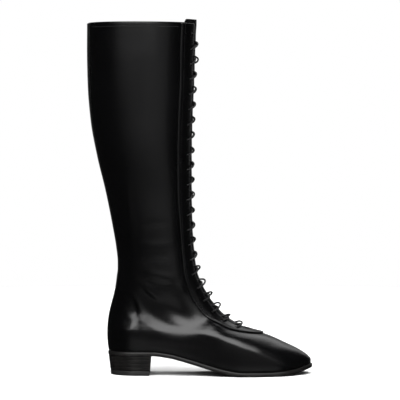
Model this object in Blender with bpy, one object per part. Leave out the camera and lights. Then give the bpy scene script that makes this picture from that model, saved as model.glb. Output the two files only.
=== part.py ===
"""Tall lace-up boot for the right foot, standing empty on its sole.

Metres, +Z up, toe towards +X, outer side of the foot towards -Y.
Origin: the middle of the heel's tread, on the floor.

The leg and the foot are one grid of closed rings, from the collar down to the
feather edge where the upper meets the sole, and a turned-in lasting margin.
Every leather piece is a patch of that grid, thickened between two heights, so
neighbouring pieces stay a small gap apart.
"""
import bmesh
import bpy
import numpy as np

for old in list(bpy.data.objects):
    bpy.data.objects.remove(old, do_unlink=True)

# Driving sizes
foot_length = 0.262
ball_width = 0.092
calf_width = 0.104
shaft_height = 0.302
instep_height = 0.113
heel_height = 0.025
toe_spring = 0.008
toe_swing = 0.006
wall = 0.002
outsole_thickness = 0.005
outsole_edge = 0.002
heel_edge = 0.0015
tread_inset = 0.0015
insole_thickness = 0.003
top_lift_thickness = 0.006
lasting_margin = 0.007
tongue_thickness = 0.0016
tongue_crown = 0.002
facing_thickness = 0.0016
facing_width = 0.022
throat_width = 0.022
stay_thickness = 0.001
stay_width = 0.036
lace_pitch = 0.0191
first_hole_drop = 0.0132
hole_inset = 0.0075
hole_diameter = 0.0032
lace_diameter = 0.0019
hole_pairs = 22
gap = 0.0003
sole_gap = 0.0004
insole_gap = 0.0006
insole_margin = 0.0014
heel_undercut = 0.0021
heel_rounding = 0.02
toe_rounding = 0.03
tip_half_width = 0.0004
end_steps = (0.0006, 0.0018, 0.005)
end_clear = 0.002
lace_rise = 0.0015
lace_turn = 0.0009
cross_share = 0.40
over_share = 1.06
hole_reach = (0.004, 0.006)

# Sole: shares of foot length against shares of heel height, toe spring and ball width
sole_columns = ("along", "heel_rise", "toe_rise", "outer", "inner", "swing")
sole_table = [
    (0.000, 1.00, 0.00, 0.340, 0.340, 0.00),
    (0.120, 1.00, 0.00, 0.345, 0.345, 0.00),
    (0.220, 1.00, 0.00, 0.350, 0.338, 0.00),
    (0.300, 0.90, 0.00, 0.358, 0.322, 0.00),
    (0.390, 0.66, 0.00, 0.375, 0.312, 0.00),
    (0.480, 0.38, 0.00, 0.410, 0.330, 0.00),
    (0.570, 0.13, 0.00, 0.465, 0.385, 0.05),
    (0.660, 0.00, 0.00, 0.505, 0.465, 0.15),
    (0.720, 0.00, 0.00, 0.505, 0.490, 0.28),
    (0.780, 0.00, 0.00, 0.485, 0.490, 0.45),
    (0.900, 0.00, 0.30, 0.410, 0.440, 0.80),
    (1.000, 0.00, 1.00, 0.300, 0.345, 1.00),
]

# Leg: heights are shares of shaft height above the ankle, back and front are shares of
# foot length from the back of the heel, half is a share of calf width
leg_columns = ("height", "back", "front", "half", "widest", "throat", "facing", "stay")
leg_table = [
    (1.018, -0.0905, 0.4285, 0.500, 0.42, 1.00, 1.27, 1.00),
    (1.000, -0.0905, 0.4275, 0.500, 0.42, 1.00, 1.26, 1.00),
    (0.894, -0.0912, 0.4218, 0.500, 0.42, 1.00, 1.25, 1.00),
    (0.745, -0.0878, 0.4160, 0.492, 0.42, 1.00, 1.20, 0.96),
    (0.596, -0.0740, 0.4080, 0.472, 0.43, 1.00, 1.18, 0.88),
    (0.447, -0.0431, 0.4046, 0.445, 0.44, 1.00, 1.17, 0.80),
    (0.298, -0.0019, 0.4046, 0.412, 0.46, 1.00, 1.13, 0.72),
    (0.149, 0.0324, 0.4080, 0.380, 0.48, 1.00, 0.98, 0.64),
    (0.060, 0.0496, 0.4149, 0.362, 0.49, 1.00, 0.93, 0.60),
    (0.000, 0.0565, 0.4218, 0.356, 0.50, 1.00, 0.93, 0.58),
]

# Foot: back and front are shares of foot length, rises are shares of instep height above
# the sole, follow bends a ring to the sole's curve, foot turns the leg's oval into the
# last's outline, nose is the length of the ring's front end
foot_columns = ("back", "back_rise", "front", "front_rise", "follow", "foot", "half",
                "widest", "fill", "nose", "throat", "facing", "stay", "spread")
foot_table = [
    (0.0565, 0.920, 0.4294, 0.995, 0.00, 0.10, 0.355, 0.50, 1.030, 0.210, 1.00, 0.96, 0.56, 0.00),
    (0.0519, 0.832, 0.4420, 0.910, 0.00, 0.22, 0.352, 0.50, 1.010, 0.210, 1.00, 0.98, 0.54, 0.00),
    (0.0466, 0.735, 0.4618, 0.830, 0.00, 0.36, 0.346, 0.49, 0.980, 0.230, 1.02, 0.98, 0.51, 0.00),
    (0.0389, 0.646, 0.4874, 0.742, 0.00, 0.50, 0.336, 0.48, 0.945, 0.255, 1.10, 0.99, 0.48, 0.00),
    (0.0294, 0.562, 0.5229, 0.655, 0.00, 0.64, 0.326, 0.47, 0.915, 0.280, 1.20, 1.01, 0.45, 0.00),
    (0.0198, 0.478, 0.5687, 0.572, 0.02, 0.76, 0.318, 0.46, 0.900, 0.310, 1.32, 1.02, 0.42, 0.00),
    (0.0122, 0.398, 0.6260, 0.508, 0.05, 0.86, 0.315, 0.45, 0.915, 0.335, 1.42, 1.02, 0.39, 0.00),
    (0.0092, 0.345, 0.6950, 0.4485, 0.08, 0.90, 0.315, 0.45, 0.935, 0.350, 1.45, 1.02, 0.37, 0.00),
    (0.0074, 0.316, 0.7220, 0.431, 0.10, 0.94, 0.318, 0.45, 0.950, 0.355, 1.45, 1.02, 0.36, 0.00),
    (0.0062, 0.284, 0.7600, 0.407, 0.13, 0.97, 0.322, 0.45, 0.970, 0.350, 1.45, 1.02, 0.35, 0.00),
    (0.0053, 0.245, 0.8020, 0.370, 0.18, 1.00, 0.330, 0.45, 0.995, 0.320, 1.45, 1.02, 0.34, 0.30),
    (0.0050, 0.186, 0.8640, 0.292, 0.30, 1.00, 0.335, 0.45, 1.015, 0.265, 1.45, 1.02, 0.34, 0.60),
    (0.0057, 0.128, 0.9370, 0.185, 0.45, 1.00, 0.340, 0.45, 1.025, 0.215, 1.45, 1.02, 0.34, 0.90),
    (0.0076, 0.076, 0.9810, 0.088, 0.70, 1.00, 0.344, 0.45, 1.020, 0.180, 1.45, 1.02, 0.34, 1.00),
    (0.0099, 0.036, 0.9930, 0.040, 0.90, 1.00, 0.344, 0.45, 1.005, 0.170, 1.45, 1.02, 0.34, 1.00),
    (0.0126, 0.000, 0.9920, 0.000, 1.00, 1.00, 0.344, 0.45, 0.980, 0.165, 1.45, 1.02, 0.34, 1.00),
]

# Shares of foot length, and of the facing's width that the upper stops under
heel_cap = 0.125
heel_seat = 0.215
upper_edge = 0.6
quarter_cells = 11

# Columns of the lower foot by share of foot length, from the toe back to the heel
foot_stations = (1.0, 0.985, 0.95, 0.905, 0.85, 0.78, 0.72, 0.66, 0.57, 0.48, 0.39, 0.30,
                 0.22, 0.12, 0.04)


def smooth(shares, values, at):
    """A curve through a table that never overshoots its rows."""
    shares = np.asarray(shares, float)
    values = np.asarray(values, float)
    at = np.clip(np.asarray(at, float), shares[0], shares[-1])
    step = np.diff(shares)
    rise = np.diff(values) / step
    slope = np.zeros(len(shares))
    slope[0] = rise[0]
    slope[-1] = rise[-1]
    same_way = rise[:-1] * rise[1:] > 0
    both = np.where(same_way, rise[:-1] + rise[1:], 1.0)
    slope[1:-1] = np.where(same_way, 2 * rise[:-1] * rise[1:] / both, 0.0)
    k = np.clip(np.searchsorted(shares, at, side="right") - 1, 0, len(step) - 1)
    t = (at - shares[k]) / step[k]
    start = (1 + 2 * t) * (1 - t) ** 2 * values[k] + t * (1 - t) ** 2 * step[k] * slope[k]
    end = t * t * (3 - 2 * t) * values[k + 1] + t * t * (t - 1) * step[k] * slope[k + 1]
    return start + end


def sole_column(name, x):
    """One column of the sole table at a distance x from the back of the heel."""
    k = sole_columns.index(name)
    shares = [row[0] for row in sole_table]
    return smooth(shares, [row[k] for row in sole_table], np.asarray(x) / foot_length)


def tread(x):
    """Height of the outsole's underside."""
    return heel_height * sole_column("heel_rise", x) + toe_spring * sole_column("toe_rise", x)


# The flat pieces and the feather edge share these stations, so their facets run parallel
station_x = foot_length * np.array(sorted(foot_stations + (0.0, 0.004, 0.012)))
station_tread = tread(station_x)


def seat(x):
    """Height of the outsole's top, as the straight facets between the stations."""
    return np.interp(x, station_x, station_tread) + outsole_thickness


def cap(t):
    """Round end of an outline, from 0 at the tip to 1."""
    t = np.clip(t, 0.0, 1.0)
    return np.sqrt(t * (2 - t))


def measured_rows():
    """Leg and foot rows as one list, collar first."""
    found = []
    for values in leg_table:
        row = dict(zip(leg_columns, values))
        z = heel_height + outsole_thickness + instep_height + row["height"] * shaft_height
        row.update(follow=0.0, foot=0.0, fill=1.0, nose=0.2, spread=0.0, back_z=z, front_z=z)
        found.append(row)
    for values in foot_table:
        row = dict(zip(foot_columns, values))
        row["back_z"] = seat(row["back"] * foot_length) + sole_gap + row["back_rise"] * instep_height
        row["front_z"] = seat(row["front"] * foot_length) + sole_gap + row["front_rise"] * instep_height
        found.append(row)
    return found


def half_ring(row, side):
    """Dense points of one half of a ring from front centre to back centre, and their run."""
    along = (1 + np.cos(np.linspace(0.0, np.pi, 321))) / 2
    back = row["back"] * foot_length
    front = row["front"] * foot_length
    x = back + along * (front - back)
    widest = row["widest"]
    reach = np.where(along > widest, (along - widest) / (1 - widest), (widest - along) / widest)
    leg = row["half"] * calf_width * np.sqrt(np.clip(1 - reach ** 2, 0, 1))
    heel_end = cap((x - back) / (heel_cap * foot_length))
    front_end = cap((front - x) / (row["nose"] * foot_length))
    edge = sole_column("outer" if side < 0 else "inner", x)
    last = row["fill"] * edge * ball_width * heel_end * front_end
    half = (1 - row["foot"]) * leg + row["foot"] * last
    y = toe_swing * sole_column("swing", x) + side * half
    line = row["back_z"] + along * (row["front_z"] - row["back_z"])
    over_back = row["back_z"] - seat(back)
    over_front = row["front_z"] - seat(front)
    bent = seat(x) + over_back + along * (over_front - over_back)
    z = (1 - row["follow"]) * line + row["follow"] * bent
    points = np.stack([x, y, z], axis=1)
    run = np.append(0.0, np.cumsum(np.linalg.norm(np.diff(points, axis=0), axis=1)))
    return points, run


def column_runs(row, points, run):
    """Where the columns stand along a half ring."""
    edge = throat_width / 2 * row["throat"]
    band = facing_width * row["facing"]
    marks = [0.0, edge / 2, edge, edge + upper_edge * band, edge + band]
    half_stay = stay_width / 2 * row["stay"]
    stay_marks = [run[-1] - half_stay, run[-1] - half_stay / 2, run[-1]]
    quarter = np.linspace(marks[-1], stay_marks[0], quarter_cells + 1)[1:-1]
    high = np.append(marks, quarter)
    low = np.interp(-foot_length * np.array(foot_stations), -points[:, 0], run)
    return np.append(high + row["spread"] * (low - high), stay_marks)


def ring_columns(row):
    """A closed ring: front centre, outer side, back centre, inner side."""
    halves = []
    for side in (-1, 1):
        points, run = half_ring(row, side)
        where = column_runs(row, points, run)
        halves.append(np.stack([np.interp(where, run, points[:, k]) for k in range(3)], axis=1))
    return np.vstack([halves[0], halves[1][-2:0:-1]])


def unit(v):
    return v / np.maximum(np.linalg.norm(v, axis=-1, keepdims=True), 1e-12)


def face_normals(points):
    """Outward normal of every cell between two rings and two columns."""
    beside = np.roll(points, -1, axis=1)
    down = points[1:] - points[:-1]
    down_beside = beside[1:] - beside[:-1]
    across = beside - points
    return unit(np.cross(across[:-1] + across[1:], down + down_beside))


def lift_directions(points):
    """Vector at every grid point that lifts all the faces round it by one unit."""
    cells = face_normals(points)
    pairs = unit(cells + np.roll(cells, 1, axis=1))
    above = np.vstack([pairs[:1], pairs])
    below = np.vstack([pairs, pairs[-1:]])
    facing = np.sum(above * below, axis=-1, keepdims=True)
    return (above + below) / (1 + np.clip(facing, -0.5, 1.0))


rows = measured_rows()
grid = np.array([ring_columns(row) for row in rows])
turned = grid[-1].copy()
around = unit(np.roll(turned, -1, axis=0) - np.roll(turned, 1, axis=0))
turned[:, 0] += lasting_margin * around[:, 1]
turned[:, 1] -= lasting_margin * around[:, 0]
turned[:, 2] = seat(turned[:, 0]) + sole_gap
grid = np.vstack([grid, turned[None]])
lift = lift_directions(grid)

tongue_row = 0
collar_row = 1
throat_row = len(leg_table) + 7
vamp_row = throat_row + 1
facing_row = vamp_row + 1
feather_row = len(rows) - 1
columns = grid.shape[1]
upper_column = 3
facing_column = 4
edge_column = 2
heel_column = columns // 2

# Over the feather edge the outer strips stand straight out from the side wall
side_lift = lift.copy()
side_lift[feather_row] = lift[feather_row - 1] * (1, 1, 0)

feather_back = rows[feather_row]["back"] * foot_length
feather_front = rows[feather_row]["front"] * foot_length
tread_back = feather_back + tread_inset
tread_front = heel_seat * foot_length - heel_undercut
origin = np.array([(tread_back + tread_front) / 2, 0.0, 0.0])


def leather(name, colour, roughness, coat):
    """Plain surface of one sub-part."""
    made = bpy.data.materials.new(name)
    made.use_nodes = True
    surface = made.node_tree.nodes["Principled BSDF"]
    surface.inputs["Base Color"].default_value = (*colour, 1.0)
    surface.inputs["Roughness"].default_value = roughness
    surface.inputs["Coat Weight"].default_value = coat
    return made


def solid(name, points, faces, material):
    """One named closed solid from points and faces, faces outwards."""
    mesh = bpy.data.meshes.new(name)
    mesh.from_pydata([tuple(p) for p in np.asarray(points) - origin], [], faces)
    body = bmesh.new()
    body.from_mesh(mesh)
    bmesh.ops.remove_doubles(body, verts=body.verts, dist=0.00001)
    bmesh.ops.triangulate(body, faces=body.faces)
    bmesh.ops.recalc_face_normals(body, faces=body.faces)
    if body.calc_volume(signed=True) < 0:
        bmesh.ops.reverse_faces(body, faces=body.faces)
    body.to_mesh(mesh)
    body.free()
    piece = bpy.data.objects.new(name, mesh)
    bpy.context.collection.objects.link(piece)
    mesh.materials.append(material)
    return piece


def sheet(name, cells, outside, inside, material, directions=lift):
    """A patch of the grid between two heights over the rings, as a closed solid."""
    layers = [grid + directions * outside[..., None], grid + directions * inside[..., None]]
    points = []
    index = {}

    def corner(row, column, layer):
        key = (row, column % columns, layer)
        if key not in index:
            index[key] = len(points)
            points.append(layers[layer][key[0], key[1]])
        return index[key]

    wanted = {(r, c % columns) for r, c in cells}
    faces = []
    for r, c in sorted(wanted):
        loop = [(r, c), (r + 1, c), (r + 1, c + 1), (r, c + 1)]
        faces.append([corner(i, j, 0) for i, j in loop])
        faces.append([corner(i, j, 1) for i, j in reversed(loop)])
        beside = [(r, c - 1), (r + 1, c), (r, c + 1), (r - 1, c)]
        for k, (i, j) in enumerate(beside):
            if (i, j % columns) not in wanted:
                a = loop[k]
                b = loop[(k + 1) % 4]
                faces.append([corner(*b, 0), corner(*a, 0), corner(*a, 1), corner(*b, 1)])
    return solid(name, points, faces, material)


def block(first, last, left, right):
    """Cells between two rows and two columns counted from the front centre."""
    return [(r, c) for r in range(first, last) for c in range(left, right)]


def flat_heights(value):
    return np.full(grid.shape[:2], value)


def outline(x, side, grow):
    """Half width of the sole's outline at x, grown evenly all round."""
    long = feather_front - feather_back
    share = np.clip((x - feather_back + grow) / (long + 2 * grow), 0, 1)
    inside_x = feather_back + share * long
    points, run = half_ring(rows[feather_row], side)
    reach = side * (points[:, 1] - toe_swing * sole_column("swing", points[:, 0]))
    edge = np.interp(-inside_x, -points[:, 0], reach)
    at_heel = cap((x - feather_back + grow) / heel_rounding)
    at_toe = cap((feather_front + grow - x) / toe_rounding)
    return toe_swing * sole_column("swing", inside_x), edge + grow * at_heel * at_toe


def flat_piece(name, levels, material):
    """Stations across the sole joined into a closed solid, one loop per level."""
    points = []
    faces = []
    count = len(levels[0][0])
    for xs, grow, heights in levels:
        for x, z in zip(xs, heights):
            for side in (-1, 1):
                middle, half = outline(x, side, grow)
                half = max(float(half), tip_half_width)
                points.append((x, float(middle) + side * half, float(z)))
    for k in range(len(levels) - 1):
        low = k * 2 * count
        high = low + 2 * count
        for i in range(count - 1):
            a = 2 * i
            faces.append([low + a, low + a + 2, high + a + 2, high + a])
            faces.append([low + a + 3, low + a + 1, high + a + 1, high + a + 3])
        faces.append([low + 1, low, high, high + 1])
        end = 2 * count - 2
        faces.append([low + end, low + end + 1, high + end + 1, high + end])
    top = (len(levels) - 1) * 2 * count
    for i in range(count - 1):
        a = 2 * i
        faces.append([a + 1, a + 3, a + 2, a])
        faces.append([top + a, top + a + 2, top + a + 3, top + a + 1])
    return solid(name, points, faces, material)


black_leather = leather("black_leather", (0.016, 0.016, 0.018), 0.32, 0.25)
facing_leather = leather("facing_leather", (0.014, 0.014, 0.016), 0.36, 0.2)
stay_leather = leather("stay_leather", (0.015, 0.015, 0.017), 0.34, 0.2)
tongue_leather = leather("tongue_leather", (0.03, 0.03, 0.032), 0.5, 0.0)
insole_leather = leather("insole_leather", (0.1, 0.075, 0.05), 0.7, 0.0)
sole_leather = leather("sole_leather", (0.02, 0.018, 0.017), 0.55, 0.0)
heel_leather = leather("heel_leather", (0.018, 0.016, 0.015), 0.45, 0.1)
tread_rubber = leather("tread_rubber", (0.02, 0.02, 0.02), 0.75, 0.0)
lace_cord = leather("lace_cord", (0.02, 0.02, 0.022), 0.6, 0.0)

below_throat = block(vamp_row, feather_row + 1, 0, columns)
quarters = block(collar_row, vamp_row, upper_column, columns - upper_column)
upper = sheet("upper", below_throat + quarters, flat_heights(0.0), flat_heights(-wall), black_leather)

facing_cells = block(collar_row, throat_row, edge_column, facing_column)
facing_cells += block(collar_row, throat_row, -facing_column, -edge_column)
facing_cells += block(throat_row, facing_row, -facing_column, facing_column)
facing_top = gap + facing_thickness
facing = sheet("facing", facing_cells, flat_heights(facing_top), flat_heights(gap), facing_leather)

stay_cells = block(collar_row, feather_row, heel_column - 2, heel_column + 2)
backstay = sheet("backstay", stay_cells, flat_heights(gap + stay_thickness), flat_heights(gap),
                 stay_leather, side_lift)

tongue_outside = flat_heights(-wall - gap)
tongue_outside[: throat_row + 1, [edge_column, -edge_column]] = 0.0
tongue_outside[: throat_row, [0]] = tongue_crown
tongue_outside[: throat_row, [1, -1]] = 0.6 * tongue_crown
tongue_outside[throat_row, [0, 1, -1]] = 0.0
tongue_cells = block(tongue_row, facing_row, -facing_column, facing_column)
tongue = sheet("tongue", tongue_cells, tongue_outside, tongue_outside - tongue_thickness, tongue_leather)


def stations_between(back, front, ends):
    """Sole stations between two distances, with more of them at rounded ends."""
    inner = station_x[(station_x > back + end_clear) & (station_x < front - end_clear)]
    extra = [back, front]
    if ends in ("both", "back"):
        extra += [back + step for step in end_steps]
    if ends in ("both", "front"):
        extra += [front - step for step in end_steps]
    return np.unique(np.round(np.concatenate([inner, extra]), 6))


sole_x = stations_between(feather_back - outsole_edge, feather_front + outsole_edge, "both")
outsole = flat_piece("outsole", [
    (sole_x, outsole_edge, seat(sole_x) - outsole_thickness),
    (sole_x, outsole_edge, seat(sole_x)),
], sole_leather)

insole_grow = -(wall + insole_margin)
insole_x = stations_between(feather_back - insole_grow, feather_front + insole_grow, "both")
insole_low = seat(insole_x) + sole_gap + wall + insole_gap
insole = flat_piece("insole", [
    (insole_x, insole_grow, insole_low),
    (insole_x, insole_grow, insole_low + insole_thickness),
], insole_leather)

heel_x = stations_between(feather_back - heel_edge, heel_seat * foot_length, "back")


def heel_stations(share):
    """Heel stations drawn in towards the tread as the heel goes down."""
    low = np.interp(heel_x, [heel_x[0], heel_x[-1]], [tread_back, tread_front])
    return heel_x + share * (low - heel_x)


def heel_grow(share):
    return heel_edge * (1 - share) - tread_inset * share


block_top = heel_height - gap
block_low = top_lift_thickness + gap
heel_block = flat_piece("heel_block", [
    (heel_stations(share), heel_grow(share), np.full(len(heel_x), z))
    for share, z in ((0.8, block_low), (0.4, (block_low + block_top) / 2), (0.0, block_top))
], heel_leather)
top_lift = flat_piece("top_lift", [
    (heel_stations(1.0), heel_grow(1.0), np.full(len(heel_x), 0.0)),
    (heel_stations(0.85), heel_grow(0.85), np.full(len(heel_x), top_lift_thickness)),
], tread_rubber)


# Laces and their holes stand on the rings' own surface
front_line = grid[collar_row: facing_row + 1, 0]
front_run = np.append(0.0, np.cumsum(np.linalg.norm(np.diff(front_line, axis=0), axis=1)))
halves = {}
for number in range(collar_row, facing_row + 1):
    halves[number] = [half_ring(rows[number], side) for side in (-1, 1)]


def on_ring(number, arc):
    """Point of a ring at a signed distance round from the front centre, outer side negative."""
    points, run = halves[number][0 if arc < 0 else 1]
    return np.array([np.interp(abs(arc), run, points[:, k]) for k in range(3)])


def on_front(down, arc, height):
    """Point a height over the rings, a distance down the front and round from its centre."""
    k = int(np.clip(np.searchsorted(front_run, down, side="right") - 1, 0, len(front_run) - 2))
    share = (down - front_run[k]) / (front_run[k + 1] - front_run[k])
    spots = []
    for turn in (-0.001, 0.0, 0.001):
        upper_spot = on_ring(collar_row + k, arc + turn)
        lower_spot = on_ring(collar_row + k + 1, arc + turn)
        spots.append(upper_spot + share * (lower_spot - upper_spot))
    downward = on_ring(collar_row + k + 1, arc) - on_ring(collar_row + k, arc)
    out = unit(np.cross(spots[0] - spots[2], downward))
    return spots[1] + out * height, out


def hole_arc(down):
    """Distance round from the front centre to a lace hole."""
    share = np.interp(down, front_run, [row["throat"] for row in rows[collar_row: facing_row + 1]])
    return throat_width / 2 * share + hole_inset


def cord(name, paths, radius, sides, material):
    """Round rods along paths of points, each with the direction that its section faces."""
    points = []
    faces = []
    for path in paths:
        start = len(points)
        spots = np.array([spot for spot, guide in path])
        steps = unit(np.diff(spots, axis=0))
        for k, (spot, guide) in enumerate(path):
            along = unit(steps[max(k - 1, 0)] + steps[min(k, len(steps) - 1)])
            across = unit(np.cross(along, guide))
            up = np.cross(across, along)
            for j in range(sides):
                angle = 2 * np.pi * (j + 0.5) / sides
                points.append(spot + radius * (np.cos(angle) * up + np.sin(angle) * across))
        for k in range(len(path) - 1):
            for j in range(sides):
                a = start + k * sides + j
                b = start + k * sides + (j + 1) % sides
                faces.append([a, b, b + sides, a + sides])
        faces.append([start + j for j in reversed(range(sides))])
        faces.append([start + (len(path) - 1) * sides + j for j in range(sides)])
    return solid(name, points, faces, material)


def combine(target, tool, operation):
    """Join or cut one solid with another."""
    change = target.modifiers.new(operation.lower(), "BOOLEAN")
    change.operation = operation
    change.solver = "EXACT"
    change.object = tool
    tool.hide_render = True
    tool.display_type = "WIRE"


hole_down = [first_hole_drop + k * lace_pitch for k in range(hole_pairs)]
hole_paths = []
for down in hole_down:
    for side in (-1, 1):
        spot, out = on_front(down, side * hole_arc(down), 0.0)
        level = np.array([0.0, 1.0, 0.2])
        hole_paths.append([(spot - hole_reach[0] * out, level), (spot + hole_reach[1] * out, level)])
hole_cutter = cord("lace_hole_cutter", hole_paths, hole_diameter / 2, 6, facing_leather)
combine(facing, hole_cutter, "DIFFERENCE")

lace_rest = facing_top + gap + lace_diameter / 2
cross_run = cross_share * lace_pitch


def zigzag(side, rise):
    """One end of the lace, crossing over the tongue from hole to hole."""
    path = []
    for k, down in enumerate(hole_down):
        arc = side * hole_arc(down)
        if k > 0:
            path.append(on_front(down - cross_run, cross_share * arc, lace_rest + rise))
            path.append(on_front(down - lace_turn, arc, lace_rest))
        if k < len(hole_down) - 1:
            path.append(on_front(down + lace_turn, arc, lace_rest))
            path.append(on_front(down + cross_run, cross_share * arc, lace_rest + rise))
        side = -side
    return path


# The bar under the last holes: shares of the way to its hole, and of the crossings' rise
bar_columns = ("across", "rise")
bar_table = [
    (-1.02, 0.0),
    (-0.40, 0.9),
    (0.40, 0.9),
    (1.02, 0.0),
]
last_down = hole_down[-1]
bar = []
for across, rise in bar_table:
    height = lace_rest + rise * lace_rise
    bar.append(on_front(last_down + lace_turn / 2, across * hole_arc(last_down), height))
laces = cord("lace", [zigzag(-1, lace_rise)], lace_diameter / 2, 5, lace_cord)
other_end = cord("lace_other_end", [zigzag(1, over_share * lace_rise)], lace_diameter / 2, 5, lace_cord)
bottom_bar = cord("lace_bar", [bar], lace_diameter / 2, 5, lace_cord)
combine(laces, other_end, "UNION")
combine(laces, bottom_bar, "UNION")
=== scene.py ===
# %% [markdown]
# # A tall lace-up boot
#
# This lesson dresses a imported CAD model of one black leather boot, knee high and laced up
# the front. The CAD part gives the frame: every piece made here sits where the CAD says,
# in metres, with Z up and the toe towards +X. The real boot is cut from flat leather and
# pulled over a wooden last. So the lesson first rebuilds the last as one smooth grid of
# rings, and then every leather piece is a patch of that grid, lifted a little off it.

import bmesh
import bpy
import numpy as np
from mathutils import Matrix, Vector


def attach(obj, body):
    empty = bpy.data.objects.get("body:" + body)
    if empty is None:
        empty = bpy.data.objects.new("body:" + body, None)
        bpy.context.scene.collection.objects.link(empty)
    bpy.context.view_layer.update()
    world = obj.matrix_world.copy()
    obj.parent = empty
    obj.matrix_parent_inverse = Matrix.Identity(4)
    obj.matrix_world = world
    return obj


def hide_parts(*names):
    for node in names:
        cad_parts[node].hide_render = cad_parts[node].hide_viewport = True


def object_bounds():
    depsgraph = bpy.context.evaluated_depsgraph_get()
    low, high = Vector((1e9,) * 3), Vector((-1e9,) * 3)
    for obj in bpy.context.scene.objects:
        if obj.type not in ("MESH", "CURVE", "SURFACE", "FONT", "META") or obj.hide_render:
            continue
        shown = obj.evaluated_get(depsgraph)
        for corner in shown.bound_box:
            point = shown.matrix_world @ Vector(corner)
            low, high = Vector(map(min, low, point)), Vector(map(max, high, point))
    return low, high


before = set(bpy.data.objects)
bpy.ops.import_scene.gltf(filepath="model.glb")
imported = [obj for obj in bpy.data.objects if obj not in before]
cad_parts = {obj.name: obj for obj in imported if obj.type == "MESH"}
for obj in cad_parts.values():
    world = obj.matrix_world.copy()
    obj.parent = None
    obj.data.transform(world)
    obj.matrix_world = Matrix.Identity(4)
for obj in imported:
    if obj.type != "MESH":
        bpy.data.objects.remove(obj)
cad_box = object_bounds()
print("nodes:", sorted(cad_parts))

# %% [markdown]
# ## The boot's sizes
# A shoemaker works from a few sizes and from tables of shares of them. The same numbers
# drive the CAD part, so the pieces made here land on its solids without any fitting.

# %% Sizes in metres
foot_length = 0.262
ball_width = 0.092
calf_width = 0.104
shaft_height = 0.302
instep_height = 0.113
heel_height = 0.025
toe_spring = 0.008
toe_swing = 0.006
wall = 0.002
outsole_thickness = 0.005
outsole_edge = 0.002
heel_edge = 0.0015
tread_inset = 0.0015
heel_undercut = 0.0021
insole_thickness = 0.003
insole_rise = 0.003
top_lift_thickness = 0.006
facing_thickness = 0.0016
facing_width = 0.022
throat_width = 0.022
stay_thickness = 0.001
stay_width = 0.036
tongue_thickness = 0.0016
lace_pitch = 0.0191
first_hole_drop = 0.0132
hole_inset = 0.0075
hole_radius = 0.0016
lace_radius = 0.0011
hole_pairs = 22
gap = 0.0003
sole_gap = 0.0004

# %% Tables of the last
sole_columns = ("along", "heel_rise", "toe_rise", "outer", "inner", "swing")
sole_table = [
    (0.000, 1.00, 0.00, 0.340, 0.340, 0.00),
    (0.120, 1.00, 0.00, 0.345, 0.345, 0.00),
    (0.220, 1.00, 0.00, 0.350, 0.338, 0.00),
    (0.300, 0.90, 0.00, 0.358, 0.322, 0.00),
    (0.390, 0.66, 0.00, 0.375, 0.312, 0.00),
    (0.480, 0.38, 0.00, 0.410, 0.330, 0.00),
    (0.570, 0.13, 0.00, 0.465, 0.385, 0.05),
    (0.660, 0.00, 0.00, 0.505, 0.465, 0.15),
    (0.720, 0.00, 0.00, 0.505, 0.490, 0.28),
    (0.780, 0.00, 0.00, 0.485, 0.490, 0.45),
    (0.900, 0.00, 0.30, 0.410, 0.440, 0.80),
    (1.000, 0.00, 1.00, 0.300, 0.345, 1.00),
]
leg_columns = ("height", "back", "front", "half", "widest", "throat", "facing", "stay")
leg_table = [
    (1.018, -0.0905, 0.4285, 0.500, 0.42, 1.00, 1.27, 1.00),
    (1.000, -0.0905, 0.4275, 0.500, 0.42, 1.00, 1.26, 1.00),
    (0.894, -0.0912, 0.4218, 0.500, 0.42, 1.00, 1.25, 1.00),
    (0.745, -0.0878, 0.4160, 0.492, 0.42, 1.00, 1.20, 0.96),
    (0.596, -0.0740, 0.4080, 0.472, 0.43, 1.00, 1.18, 0.88),
    (0.447, -0.0431, 0.4046, 0.445, 0.44, 1.00, 1.17, 0.80),
    (0.298, -0.0019, 0.4046, 0.412, 0.46, 1.00, 1.13, 0.72),
    (0.149, 0.0324, 0.4080, 0.380, 0.48, 1.00, 0.98, 0.64),
    (0.060, 0.0496, 0.4149, 0.362, 0.49, 1.00, 0.93, 0.60),
    (0.000, 0.0565, 0.4218, 0.356, 0.50, 1.00, 0.93, 0.58),
]
foot_columns = ("back", "back_rise", "front", "front_rise", "follow", "foot", "half",
                "widest", "fill", "nose", "throat", "facing", "stay", "spread")
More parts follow.
